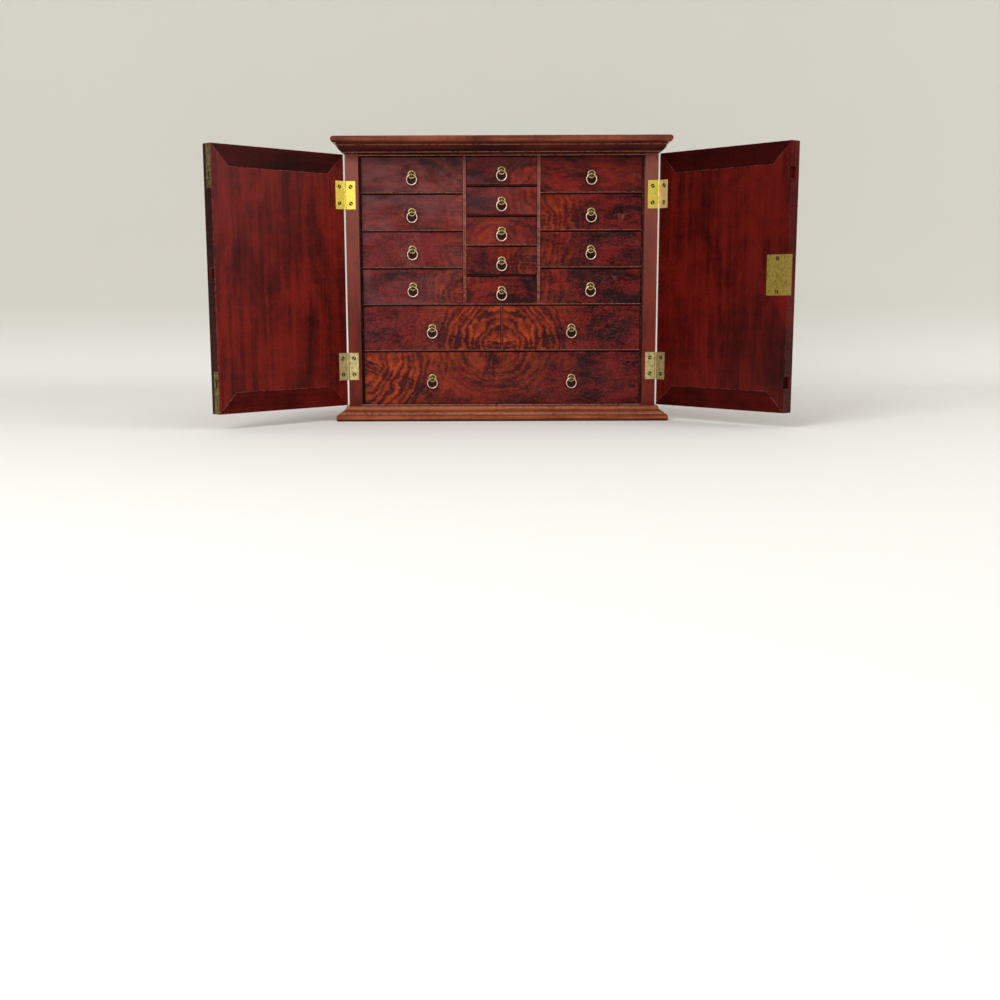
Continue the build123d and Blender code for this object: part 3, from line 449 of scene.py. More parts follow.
def make_materials():
    """Every finish of the cabinet, kept by its short name."""
    c = bpy.context.scene.cabinet_colours
    case = (tuple(c.case_dark), tuple(c.case_light))
    edge, pale = linear("#9c6658"), linear("#c09a88")
    woods = [
        ("case", "Waxed mahogany, case", *case, edge, dict(gloss=0.34, streak=0.5, top_sheen=0.45)),
        ("rail", "Waxed mahogany, rails", *case, pale,
         dict(along="X", gloss=0.36, seed=1.7, rubbed_from=0.36)),
        ("cornice_board", "Rubbed mahogany, top board", linear("#4e1c12"), linear("#8a4c36"), pale,
         dict(along="X", seed=3.6, rubbed_from=0.36)),
        ("back", "Stained pine, back board", linear("#3a2418"), linear("#6c4a30"), edge,
         dict(gloss=0.65, shine=0.1, seed=5.2, cloud=0.4)),
        ("drawer", "Oiled mahogany, drawer linings", linear("#5f3422"), linear("#9c6744"), edge,
         dict(along="Y", gloss=0.6, shine=0.15, seed=10.3)),
    ]
    for key, dark, light, worn_and_lit, rubbed_from, seed in (
        ("cornice", "#300a08", "#6c281b", linear("#85554a"), 0.34, 3.1),
        ("plinth", "#622414", "#a85a38", pale, 0.36, 5.1),
    ):
        for part, along in (("", "X"), ("return", "Y")):
            woods.append((
                f"{key}_{part}".rstrip("_"), f"Waxed mahogany, {key} {part}".rstrip(),
                linear(dark), linear(light), worn_and_lit,
                dict(along=along, shine=0.06, seed=seed, cloud=0.6, rubbed_from=rubbed_from),
            ))
            seed += 1
    for side, lift, seed in (("left", 0.0, 6.3), ("right", 0.5, 7.9)):
        dark = mixed(tuple(c.door_dark), linear("#200202"), lift)
        light = mixed(tuple(c.door_light), linear("#480806"), lift)
        polished = f"French-polished mahogany, {side}"
        woods += [
            (f"door_{side}", f"{polished} door", dark, light, edge,
             dict(seed=seed, streak=0.6, cloud=1.0)),
            (f"clamp_{side}", f"{polished} clamps", dark, mixed(light, dark, 0.3), edge,
             dict(turn=DOOR_TURN[side], along="X", shine=0.05, seed=seed + 1.8, streak=0.5)),
        ]
    for key, name, dark, light, worn_and_lit, looks in woods:
        MATERIALS[key] = figured_wood(name, dark, light, worn_and_lit, **looks)
    MATERIALS["veneer"] = flame_veneer(
        "Crotch mahogany veneer, French-polished", tuple(c.veneer_dark), tuple(c.veneer_light),
        tuple(c.flame_dark), tuple(c.flame_light), tuple(c.sheen_colour), linear("#9a6860"),
    )
    MATERIALS["bright_brass"] = aged_brass(
        "Lacquered brass, upper hinges", tuple(c.brass), linear("#cfae4a"), 0.22, 0.52, 0.85
    )
    for key, name, bright, dull, *looks in (
        ("pale", "Rubbed brass, upper right hinge", "#ffe4a4", "#e4b468", 0.3, 0.5, 0.8),
        ("dull", "Tarnished brass, lower hinges", "#cdbd84", "#8f8050", 0.32, 0.42, 0.7),
        ("bolt", "Tarnished brass, flush bolts", "#8f7f4c", "#4f4828", 0.36, 0.38, 0.62),
        ("lock", "Scuffed brass, lock", "#b49c48", "#7c6c30", 0.34, 0.42, 0.66, 0.1),
        ("pull", "Cast brass, rosettes", "#cdb47c", "#6a6238", 0.26, 0.5, 0.8),
        ("ring", "Drawn brass, rubbed rings", "#e6c6b0", "#9c7c64", 0.24, 0.5, 0.76),
        ("screw", "Dark aged brass, screws", "#5c5a24", "#1e200c", 0.42, 0.32, 0.56),
    ):
        MATERIALS[f"{key}_brass"] = aged_brass(name, linear(bright), linear(dull), *looks)


# ---- meshes ---------------------------------------------------------------------
def shells(node):
    """Each solid of a CAD node as its own merged bmesh.

    A solid's faces follow one another in the node's mesh, and it ends where they close:
    where every edge has been met once in each direction.
    """
    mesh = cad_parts[node].data
    spots = [tuple(round(value, 6) for value in vert.co) for vert in mesh.vertices]
    result = []
    shell = bmesh.new()
    made = {}
    open_edges = {}
    for polygon in mesh.polygons:
        corners = [spots[index] for index in polygon.vertices]
        for start, end in zip(corners, corners[1:] + corners[:1]):
            if start == end:
                continue
            if open_edges.get((end, start)):
                open_edges[end, start] -= 1
                if not open_edges[end, start]:
                    del open_edges[end, start]
            else:
                open_edges[start, end] = open_edges.get((start, end), 0) + 1
        for spot in corners:
            if spot not in made:
                made[spot] = shell.verts.new(spot)
        if len(set(corners)) == len(corners):
            shell.faces.new([made[spot] for spot in corners])
        if not open_edges:
            shell.normal_update()
            result.append(shell)
            shell = bmesh.new()
            made = {}
    if made:
        raise RuntimeError(f"{node} has a solid that doesn't close")
    return result


def reach(shell):
    """Lowest and highest corner of a bmesh."""
    low = Vector(min(v.co[axis] for v in shell.verts) for axis in range(3))
    high = Vector(max(v.co[axis] for v in shell.verts) for axis in range(3))
    return low, high


def break_arrises(shell, width):
    """Chamfer every sharp edge a little and mark the new faces as rubbed pale: wear, and a painted
    highlight along the edge.
    """
    bmesh.ops.dissolve_limit(
        shell, angle_limit=radians(0.4), verts=shell.verts, edges=shell.edges, delimit=set()
    )
    sharp = [e for e in shell.edges if e.is_manifold and e.calc_face_angle(0.0) > SHARP]
    mark = shell.faces.layers.float.get("worn_and_lit") or shell.faces.layers.float.new("worn_and_lit")
    if width > 0:
        made = bmesh.ops.bevel(
            shell, geom=sharp, offset=width, offset_type="OFFSET", segments=1, profile=0.5,
            affect="EDGES", clamp_overlap=True,
        )
        for face in made["faces"]:
            face[mark] = 1.0


def bisected(shell, place, normal):
    """Split every face that a plane crosses."""
    every = shell.verts[:] + shell.edges[:] + shell.faces[:]
    bmesh.ops.bisect_plane(shell, geom=every, plane_co=place, plane_no=normal)


def scratch_line(shell):
    """Cut a V line down the middle of a board's front edge."""
    width = sizes().scratch_line
    low, high = reach(shell)
    middle = (low.x + high.x) / 2
    for offset in (-width / 2, 0.0, width / 2):
        bisected(shell, (middle + offset, 0, 0), (1, 0, 0))
    for vert in shell.verts:
        if abs(vert.co.x - middle) < width / 8 and vert.co.y < low.y + width:
            vert.co.y += width * 0.8


def painted_shade(shell, rule):
    """Mark how much painted shade lies on each face, by a rule on its normal and middle."""
    mark = shell.faces.layers.float.new("painted_shade")
    for face in shell.faces:
        face[mark] = rule(face.normal, face.calc_center_median())


def joined(parts):
    """Several bmeshes as one."""
    result = bmesh.new()
    for part in parts:
        mesh = bpy.data.meshes.new("part")
        part.to_mesh(mesh)
        part.free()
        result.from_mesh(mesh)
        bpy.data.meshes.remove(mesh)
    return result


def add_piece(name, mesh, body, slot, material, *stands_for):
    """A mesh as a piece that rides on a body and stands for nodes; its slot is not used."""
    piece = bpy.data.objects.new(name, mesh)
    bpy.context.scene.collection.objects.link(piece)
    if not mesh.materials:
        mesh.materials.append(MATERIALS[material])
    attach(piece, body)
    if stands_for:
        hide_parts(*stands_for)


def finish_piece(name, shell, body, slot, material, node):
    """A bmesh as a smooth-shaded piece that stands for a node or a part of one."""
    mesh = bpy.data.meshes.new(name)
    shell.to_mesh(mesh)
    shell.free()
    mesh.shade_smooth()
    mesh.set_sharp_from_angle(angle=SHARP)
    add_piece(name, mesh, body, slot, material, node)


def board_piece(name, node, body, slot, material, width, choose=None, dress=None):
    """A wooden or brass piece cut from a CAD node, with its arrises broken.

    choose picks the node's solids by their corners, and dress works on each one.
    """
    kept = []
    for shell in shells(node):
        if choose and not choose(*reach(shell)):
            shell.free()
            continue
        break_arrises(shell, width)
        if dress:
            dress(shell)
        kept.append(shell)
    finish_piece(name, joined(kept), body, slot, material, node)


# ---- case -----------------------------------------------------------------------
def shaded_lining(shell):
    """Darken the thin lining inside a side board, which stands back behind the stile."""
    low, high = reach(shell)
    dark = 0.85 if high.x - low.x < 0.006 else 0.0
    painted_shade(shell, lambda normal, middle: dark)


def shaded_runner(shell):
    """Leave the upper half of a runner's front edge with its pale arris and paint the shadow of the
    gap below it on its lower half.

    Painted shade covers the whole front edge of three of the four runners in the middle
    column: all but the one under the third drawer.
    """
    low, high = reach(shell)
    third = min(reach(part)[0].z for part in shells("drawer_centre_3"))
    in_middle_column = abs(low.x + high.x) < 0.02 and high.x - low.x < 0.2
    black = in_middle_column and abs(high.z - third) > 0.004
    level = low.z + (high.z - low.z) * 0.45
    bisected(shell, (0, 0, level), (0, 0, 1))

    def runner_shade(normal, middle):
        """Only the upper half of the front edge is nearly free of painted shade."""
        return 0.1 if normal.y < -0.3 and middle.z > level and not black else 0.92

    painted_shade(shell, runner_shade)
    # No pale arris where painted shade lies.
    worn_and_lit = shell.faces.layers.float.get("worn_and_lit")
    for face in shell.faces:
        if worn_and_lit and (black or face.calc_center_median().z < level):
            face[worn_and_lit] = 0.0


class CABINET_OT_case(bpy.types.Operator):
    """Case sides with their linings, floor, top, back, partitions and dividers"""

    bl_idname = "cabinet.case"
    bl_label = "Case"

    def execute(self, context):
        plain, fine, wood = sizes().arris, sizes().fine_arris, "carcase_mahogany"
        for name, node, slot, finish, width, dress in (
            ("case_side_left", "side_left", wood, "case", plain, shaded_lining),
            ("case_side_right", "side_right", wood, "case", plain, shaded_lining),
            ("floor_board", "case_floor", wood, "rail", plain, None),
            ("top_board_inner", "case_top", wood, "rail", plain, None),
            ("back_board", "back_panel", "backboard_pine", "back", plain, None),
            ("upright_partitions", "partitions", wood, "case", plain, scratch_line),
            ("runners", "drawer_dividers", wood, "rail", fine, shaded_runner),
        ):
            board_piece(name, node, "carcase", slot, finish, width, dress=dress)
        return {"FINISHED"}


class CABINET_OT_mouldings(bpy.types.Operator):
    """Cornice and plinth, front lengths and mitred returns"""

    bl_idname = "cabinet.mouldings"
    bl_label = "Mouldings"

    def execute(self, context):
        width, wood = sizes().arris, "moulding_mahogany"

        def under(normal, middle):
            """Painted shade on the mouldings' downward faces; the plinth's upward faces are darkened
            a little less, and its foot most, with a painted contact shadow over its dark fillet.
            """
            if middle.z < PLINTH_FOOT:
                return 0.9
            if normal.z < -0.2:
                return 0.6
            return 0.45 if normal.z > 0.5 and middle.z < 0.1 else 0.0

        for node in ("cornice", "plinth"):
            for part, choose, finish in (
                ("front", lambda low, high: high.x - low.x >= 0.1, node),
                ("returns", lambda low, high: high.x - low.x < 0.1, f"{node}_return"),
            ):
                board_piece(
                    f"{node}_{part}", node, "carcase", wood, finish, width, choose,
                    partial(painted_shade, rule=under),
                )
        board_piece("cornice_board", "cornice_top", "carcase", wood, "cornice_board", width)
        return {"FINISHED"}


# ---- doors ----------------------------------------------------------------------
def door_frame(side):
    """A door's pin, the direction along the door and the way its inner face looks."""
    sign = {"left": -1, "right": 1}[side]
    turn = abs(DOOR_TURN[side])
    pin = Vector((sign * PIN_ASIDE, -FACE_SUNK, 0))
    return pin, Vector((-sign * cos(turn), -sin(turn), 0)), Vector((-sign * sin(turn), cos(turn), 0))


class CABINET_OT_doors(bpy.types.Operator):
    """Two doors of upright boards with mitred clamps across their ends"""

    bl_idname = "cabinet.doors"
    bl_label = "Doors"

    def execute(self, context):
        top = CAD_BOX[1][2] * 0.8
        # edge is the painted shade on a door's meeting edge; low and high are the painted shade on
        # its lower and upper clamps.
        for side, edge in (("left", 0.85), ("right", 0.15)):
            body = f"door_{side}"
            along = door_frame(side)[1]
            for part, node, finish, width, low, high in (
                ("boards", "panel", body, sizes().door_arris, 0.0, 0.0),
                ("end_clamps", "clamps", f"clamp_{side}", sizes().front_arris, 0.2, 0.65),
            ):

                def aged(normal, middle):
                    """Painted shade: the left door's edge is nearly black, and the upper clamps are
                    dark.
                    """
                    return edge if normal.dot(along) > 0.95 else high if middle.z > top else low

                board_piece(
                    f"{body}_{part}", f"{body}_{node}", body, "door_mahogany", finish, width,
                    dress=partial(painted_shade, rule=aged),
                )
        return {"FINISHED"}


# ---- screws ---------------------------------------------------------------------
def screw_tree():
    """Geometry nodes: a slotted countersunk head, flush on every point it is given."""
    tree = bpy.data.node_groups.new("Slotted screw heads", "GeometryNodeTree")
    tree.is_modifier = True
    for way, name, kind in (
        ("INPUT", "Geometry", "Geometry"),
        ("INPUT", "Head radius", "Float"),
        ("INPUT", "Head rise", "Float"),
        ("INPUT", "Slot width", "Float"),
        ("INPUT", "Seed", "Int"),
        ("INPUT", "Finish", "Material"),
        ("OUTPUT", "Geometry", "Geometry"),
    ):
        tree.interface.new_socket(name, in_out=way, socket_type=f"NodeSocket{kind}")
    given = add_node(tree, "NodeGroupInput", out=None).outputs
    radius, rise, width = given["Head radius"], given["Head rise"], given["Slot width"]
    lower, depth, length = [product(tree, radius, share) for share in (0.55, 0.4, 2.4)]
    head = add_node(
        tree, "GeometryNodeMeshCone",
        {"Vertices": 24, "Radius Top": radius, "Radius Bottom": lower, "Depth": depth},
    )
    seat = add_node(tree, "CombineXYZ", {2: weighted_sum(tree, rise, ((radius, -0.4),))})
    head = add_node(tree, "GeometryNodeTransform", {"Geometry": head, "Translation": seat})
    size = add_node(tree, "CombineXYZ", (length, width, width))
    slot = add_node(tree, "GeometryNodeMeshCube", {"Size": size})
    cut = add_node(tree, "CombineXYZ", {2: rise})
    slot = add_node(tree, "GeometryNodeTransform", {"Geometry": slot, "Translation": cut})
    slotted = add_node(
        tree, "GeometryNodeMeshBoolean", {"Mesh 1": head, "Mesh 2": slot}, operation="DIFFERENCE"
    )
    facing, scale = [
        add_node(tree, "GeometryNodeInputNamedAttribute", {"Name": name}, "Attribute", data_type=kind)
        for name, kind in (("facing", "FLOAT_VECTOR"), ("size", "FLOAT"))
    ]
    stand = add_node(tree, "FunctionNodeAlignRotationToVector", {"Vector": facing}, axis="Z")
    turn = add_node(
        tree, "FunctionNodeRandomValue", {2: 0.0, 3: pi, "Seed": given["Seed"]}, 1,
        data_type="FLOAT",
    )
    spin = add_node(tree, "CombineXYZ", {2: turn})
    rotation = add_node(
        tree, "FunctionNodeRotateRotation", {"Rotation": stand, "Rotate By": spin},
        rotation_space="LOCAL",
    )
    placed = add_node(
        tree, "GeometryNodeInstanceOnPoints",
        {"Points": given["Geometry"], "Instance": slotted, "Rotation": rotation, "Scale": scale},
    )
    real = add_node(tree, "GeometryNodeRealizeInstances", {"Geometry": placed})
    finish = {"Geometry": real, "Material": given["Finish"]}
    add_node(tree, "NodeGroupOutput", (add_node(tree, "GeometryNodeSetMaterial", finish),), None)
    return tree


def run_tree(name, tree, points, inputs):
    """Run a geometry-nodes tree on points and give the result as a plain mesh.

    points are (place, facing, size) triples.
    """
    seeds = bpy.data.meshes.new(f"{name}_points")
    seeds.from_pydata([place for place, _, _ in points], [], [])
    seeds.attributes.new("facing", "FLOAT_VECTOR", "POINT")
    seeds.attributes.new("size", "FLOAT", "POINT")
    for number, (_, direction, scale) in enumerate(points):
        seeds.attributes["facing"].data[number].vector = direction
        seeds.attributes["size"].data[number].value = scale
    carrier = bpy.data.objects.new(f"{name}_carrier", seeds)
    bpy.context.scene.collection.objects.link(carrier)
    modifier = carrier.modifiers.new("nodes", "NODES")
    modifier.node_group = tree
    for item in tree.interface.items_tree:
        if item.in_out == "INPUT" and item.name in inputs:
            modifier[item.identifier] = inputs[item.name]
    graph = bpy.context.evaluated_depsgraph_get()
    mesh = bpy.data.meshes.new_from_object(carrier.evaluated_get(graph))
    carrier.modifiers.remove(modifier)
    bpy.data.objects.remove(carrier)
    mesh.name = name
    return mesh


def leaf_centres(node):
    """Middle height of each leaf in a hinge node."""
    heights = []
    for shell in shells(node):
        low, high = reach(shell)
        heights.append((low.z + high.z) / 2)
        shell.free()
    return sorted(set(round(z, 4) for z in heights))


def on_door(side, run, sunk, height):
    """A place on a door: so far from its pin, so far behind the pin and so high."""
    pin, along, inner = door_frame(side)
    return pin + along * run - inner * sunk + Vector((0, 0, height))


class CABINET_OT_screws(bpy.types.Operator):
    """Slotted screws of the hinges, the bolt plates and the lock"""

    bl_idname = "cabinet.screws"
    bl_label = "Screws"

    def execute(self, context):
        s = sizes()
        tree = screw_tree()
        steps = (-s.screw_spacing / 2, s.screw_spacing / 2)
        groups = {"carcase": [], "door_left": [], "door_right": []}
        for z in leaf_centres("case_hinge_leaves"):
            for sign in (-1, 1):
                for step in steps:
                    place = Vector((sign * (PIN_ASIDE - LEAF_SCREWS), 0.0, z + step))
                    groups["carcase"].append((place, Vector((0, -1, 0)), 1.0))
        for side in ("left", "right"):
            inner = door_frame(side)[2]
            for z in leaf_centres(f"door_{side}_hinge_leaves"):
                for step in steps:
                    place = on_door(side, LEAF_SCREWS, FACE_SUNK, z + step)
                    groups[f"door_{side}"].append((place, inner, 1.0))
        low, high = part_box("flush_bolt_plates")
        for z in (low.z + BOLT_SCREWS, high.z - BOLT_SCREWS):
            place = on_door("left", DOOR_WIDTH, BOLT_SUNK, z)
            small = s.small_screw_radius / s.screw_radius
            groups["door_left"].append((place, door_frame("left")[1], small))
        low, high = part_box("lock_case")
        for step in (-1, 1):
            z = (low.z + high.z) / 2 + step * s.lock_screw_spacing / 2
            place = on_door("right", DOOR_WIDTH - LOCK_SCREWS, FACE_SUNK, z)
            groups["door_right"].append((place, door_frame("right")[2], 1.0))
        for number, (body, points) in enumerate(groups.items()):
            inputs = {
                "Head radius": s.screw_radius,
                "Head rise": s.screw_rise,
                "Slot width": s.screw_slot,
                "Seed": 11 + number,
                "Finish": MATERIALS["screw_brass"],
            }
            name = f"{body}_screws"
            mesh = run_tree(name, tree, points, inputs)
            add_piece(name, mesh, body, "hinge_brass", "screw_brass")
        return {"FINISHED"}


# ---- hinges, bolts and lock -------------------------------------------------------
def shade_turned_faces(shell, facing, depth=0.65):
    """Paint shade on every face of a brass fitting that doesn't look outwards, such as its edges and
    sides.
    """
    mark = shell.faces.layers.float.new("patina_and_shade")
    for face in shell.faces:
        face[mark] = 0.0 if max(face.normal.dot(way) for way in facing) > 0.85 else depth


class CABINET_OT_hinges(bpy.types.Operator):
    """Butt hinges: bright upper pair and tarnished lower pair"""

    bl_idname = "cabinet.hinges"
    bl_label = "Hinges"

    def execute(self, context):
        middle = CAD_BOX[1][2] / 2
        front = Vector((0, -1, 0))
        for node, body, facing, bright in (
            ("case_hinge_leaves", "carcase", front, "bright_brass"),
            ("hinge_pins", "carcase", front, "bright_brass"),
            ("door_left_hinge_leaves", "door_left", door_frame("left")[2], "bright_brass"),
            ("door_right_hinge_leaves", "door_right", door_frame("right")[2], "pale_brass"),
        ):
            for part, finish, choose in (
                ("upper", bright, lambda low, high: low.z > middle),
                ("lower", "dull_brass", lambda low, high: low.z < middle),
            ):
                board_piece(
                    f"{node}_{part}", node, body, "hinge_brass", finish, sizes().metal_arris,
                    choose, partial(shade_turned_faces, facing=(facing,)),
                )
        return {"FINISHED"}


class CABINET_OT_door_brass(bpy.types.Operator):
    """Flush bolts and their plates, the lock with its bolt, and the keyhole's thread"""

    bl_idname = "cabinet.door_brass"
    bl_label = "Bolts and lock"

    def execute(self, context):
        for node, body, brass, side in (
            ("flush_bolt_plates", "door_left", "bolt_brass", "left"),
            ("flush_bolt_top", "top_bolt", "bolt_brass", "left"),
            ("flush_bolt_bottom", "bottom_bolt", "bolt_brass", "left"),
            ("lock_case", "door_right", "lock_brass", "right"),
            ("lock_bolt", "door_lock_bolt", "lock_brass", "right"),
            ("keyhole_escutcheon", "door_right", "lock_brass", "right"),
        ):
            _, along, inner = door_frame(side)
            facing = (along, inner, -inner) if side == "left" else (inner, -inner)
            board_piece(
                f"{node}_brass", node, body, brass, brass, sizes().metal_arris,
                dress=partial(shade_turned_faces, facing=facing, depth=0.5),
            )
        return {"FINISHED"}


# ---- drawers ----------------------------------------------------------------------
# Each front's sheet of veneer: how mottled it is, how much painted sheen lies on it (a grey
# veil that stands for the polish's reflection), then its crotches, at most two. A crotch
# lies so far to the right of and above the middle of the front, in metres, its stem points
# that way, in degrees, and its figure carries so far, in metres, with that much fire.
VENEER = {
    "left_1": (0.05, 0.75, ((-0.05, -0.33, 5, 0.9, 0.2),)),
    "left_2": (0.3, 0.65, ((0.092, 0.004, 175, 0.07, 0.3), (0.0, -0.30, 0, 0.8, 0.12))),
    "left_3": (0.5, 0.55, ((0.083, 0.0, 178, 0.06, 0.35),)),
    "left_4": (0.4, 0.5, ((0.088, -0.024, 172, 0.10, 0.55),)),
    "centre_1": (0.1, 0.4, ((0.062, -0.050, 160, 0.11, 0.5),)),
    "centre_2": (0.1, 0.3, ((0.075, 0.028, 170, 0.11, 0.3),)),
    "centre_3": (0.25, 0.2, ((-0.006, -0.040, 3, 0.085, 0.4),)),
    "centre_4": (0.2, 0.15, ((0.062, -0.004, 174, 0.12, 0.35),)),
    "centre_5": (0.4, 0.05, ((-0.07, 0.034, 5, 0.09, 0.2),)),
    "right_1": (0.1, 0.1, ((0.04, 0.30, 5, 0.8, 0.15),)),
    "right_2": (0.4, 0.08, ((-0.096, -0.020, 12, 0.12, 0.6),)),
    "right_3": (0.45, 0.12, ((-0.098, 0.012, 5, 0.11, 0.35),)),
    "right_4": (0.5, 0.08, ((-0.104, 0.006, 8, 0.10, 0.4),)),
    "half_left": (0.6, 0.15, ((0.112, -0.036, 168, 0.175, 0.95),)),
    "half_right": (0.6, 0.08, ((-0.112, -0.036, 12, 0.165, 0.9),)),
    "bottom": (0.5, 0.1, ((-0.228, 0.020, -20, 0.21, 0.9), (-0.014, 0.046, 80, 0.13, 0.45))),
}


def lay_veneer(shell, seed, mottle, sheen, crotches, pulls_apart):
    """Give a front its sheet of veneer.

    One UV map runs over the whole sheet, one is measured from the middle of the dark patch
    behind the ring, and one starts at each crotch, in metres, with its stem to the right and up
    kept upward, so that a pair of fronts is book-matched.
    """
    low, high = reach(shell)
    middle = (low + high) / 2
    sheet = shell.loops.layers.uv.new("sheet")
    pull = shell.loops.layers.uv.new("pull")
    strengths = {"mottle": mottle, "sheen": sheen, "pulls_apart": pulls_apart}
    places = {}
    for number, name in enumerate(("first", "second")):
        x, z, turn, carry, fire = crotches[number] if number < len(crotches) else (9, 9, 0, 0, 0)
        strengths[f"carry_{name}"] = carry
        strengths[f"fire_{name}"] = fire
        stem = Vector((cos(radians(turn)), sin(radians(turn))))
        up = Vector((-stem.y, stem.x)) if stem.x > 0 else Vector((stem.y, -stem.x))
        places[shell.loops.layers.uv.new(f"crotch_{name}")] = (Vector((x, z)), stem, up)
    layers = {shell.faces.layers.float.new(name): value for name, value in strengths.items()}
    for face in shell.faces:
        for mark, value in layers.items():
            face[mark] = value
        for loop in face.loops:
            x, y, z = loop.vert.co
            spot = Vector((x - middle.x, z - middle.z + y - low.y))
            loop[sheet].uv = spot + Vector((seed * 0.61, seed * 0.37))
            loop[pull].uv = spot + Vector((0, RING_DROP))
            for mark, (crotch, stem, up) in places.items():
                loop[mark].uv = ((spot - crotch).dot(stem), (spot - crotch).dot(up))


def age_pull(shell):
    """Mark how far each face of a turned rosette lies in the dip behind its rim."""
    low, high = reach(shell)
    middle = (low + high) / 2
    edge = (high.x - low.x) / 2
    mark = shell.faces.layers.float.new("patina_and_shade")
    for face in shell.faces:
        centre = face.calc_center_median()
        share = Vector((centre.x - middle.x, centre.z - middle.z)).length / edge
        face[mark] = 0.75 if share < 0.46 else 1.0 if share < 0.66 else 0.0


class CABINET_OT_drawers(bpy.types.Operator):
    """Sixteen drawers with flame-veneered fronts, each box with its own lining wood"""

    bl_idname = "cabinet.drawers"
    bl_label = "Drawers"

    def execute(self, context):
        wood = "drawer_mahogany"
        for number, (name, (mottle, sheen, crotches)) in enumerate(VENEER.items()):
            apart = PULLS_APART if name == "bottom" else 0.0
            node = f"drawer_{name}"
            body = f"{name}_drawer"
            boxes = []
            pulls = []
            for shell in shells(node):
                low, high = reach(shell)
                if high.y < 0.0125 and high.x - low.x < 0.02:
                    age_pull(shell)
                    pulls.append(shell)
                elif low.y < 0.013:
                    break_arrises(shell, sizes().front_arris)
                    lay_veneer(shell, number, mottle, sheen, crotches, apart)
                    finish_piece(f"front_{name}", shell, body, wood, "veneer", node)
                else:
                    break_arrises(shell, sizes().fine_arris)
                    boxes.append(shell)
            finish_piece(f"box_{name}", joined(boxes), body, wood, "drawer", node)
            brass = "pull_brass"
            finish_piece(f"rosette_{name}", joined(pulls), body, brass, brass, node)
        return {"FINISHED"}


class CABINET_OT_rings(bpy.types.Operator):
    """Seventeen drop rings of drawn brass"""

    bl_idname = "cabinet.rings"
    bl_label = "Rings"

    def execute(self, context):
        for node in sorted(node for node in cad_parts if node.startswith("ring_")):
            body = node.removeprefix("ring_") + "_ring"
            shell = joined(shells(node))
            finish_piece(f"drop_{node}", shell, body, "pull_brass", "ring_brass", node)
        return {"FINISHED"}


# ---- stage ----------------------------------------------------------------------
def plain_paper(name, wall, floor):
    """Matt painted board with a faint unevenness, lighter on the floor than on the backdrop.

    It is clear from behind, so that the cabinet's back can be looked at through it.
    """
    material, tree = new_material(name)
    place = add_node(tree, "TexCoord", out="Object")
    uneven = add_node(tree, "TexNoise", {"Vector": place, "Scale": 3.0, "Detail": 3.0})
    level = add_node(tree, "SeparateXYZ", (place,), "Z")
    rise = add_node(tree, "MapRange", (level, 0.0, 0.2), **SMOOTH)
    backdrop = coated(tree, mixed(wall, BLACK, 0.03), (uneven, wall))
    shader = add_node(
        tree, "BsdfPrincipled",
        {"Base Color": coated(tree, floor, (rise, backdrop)), "Roughness": 0.85},
    )
    behind = add_node(tree, "NewGeometry", out="Backfacing")
    clear = add_node(tree, "BsdfTransparent")
    board = add_node(tree, "MixShader", (behind, shader, clear))
    add_node(tree, "OutputMaterial", {"Surface": board}, None)
    return material


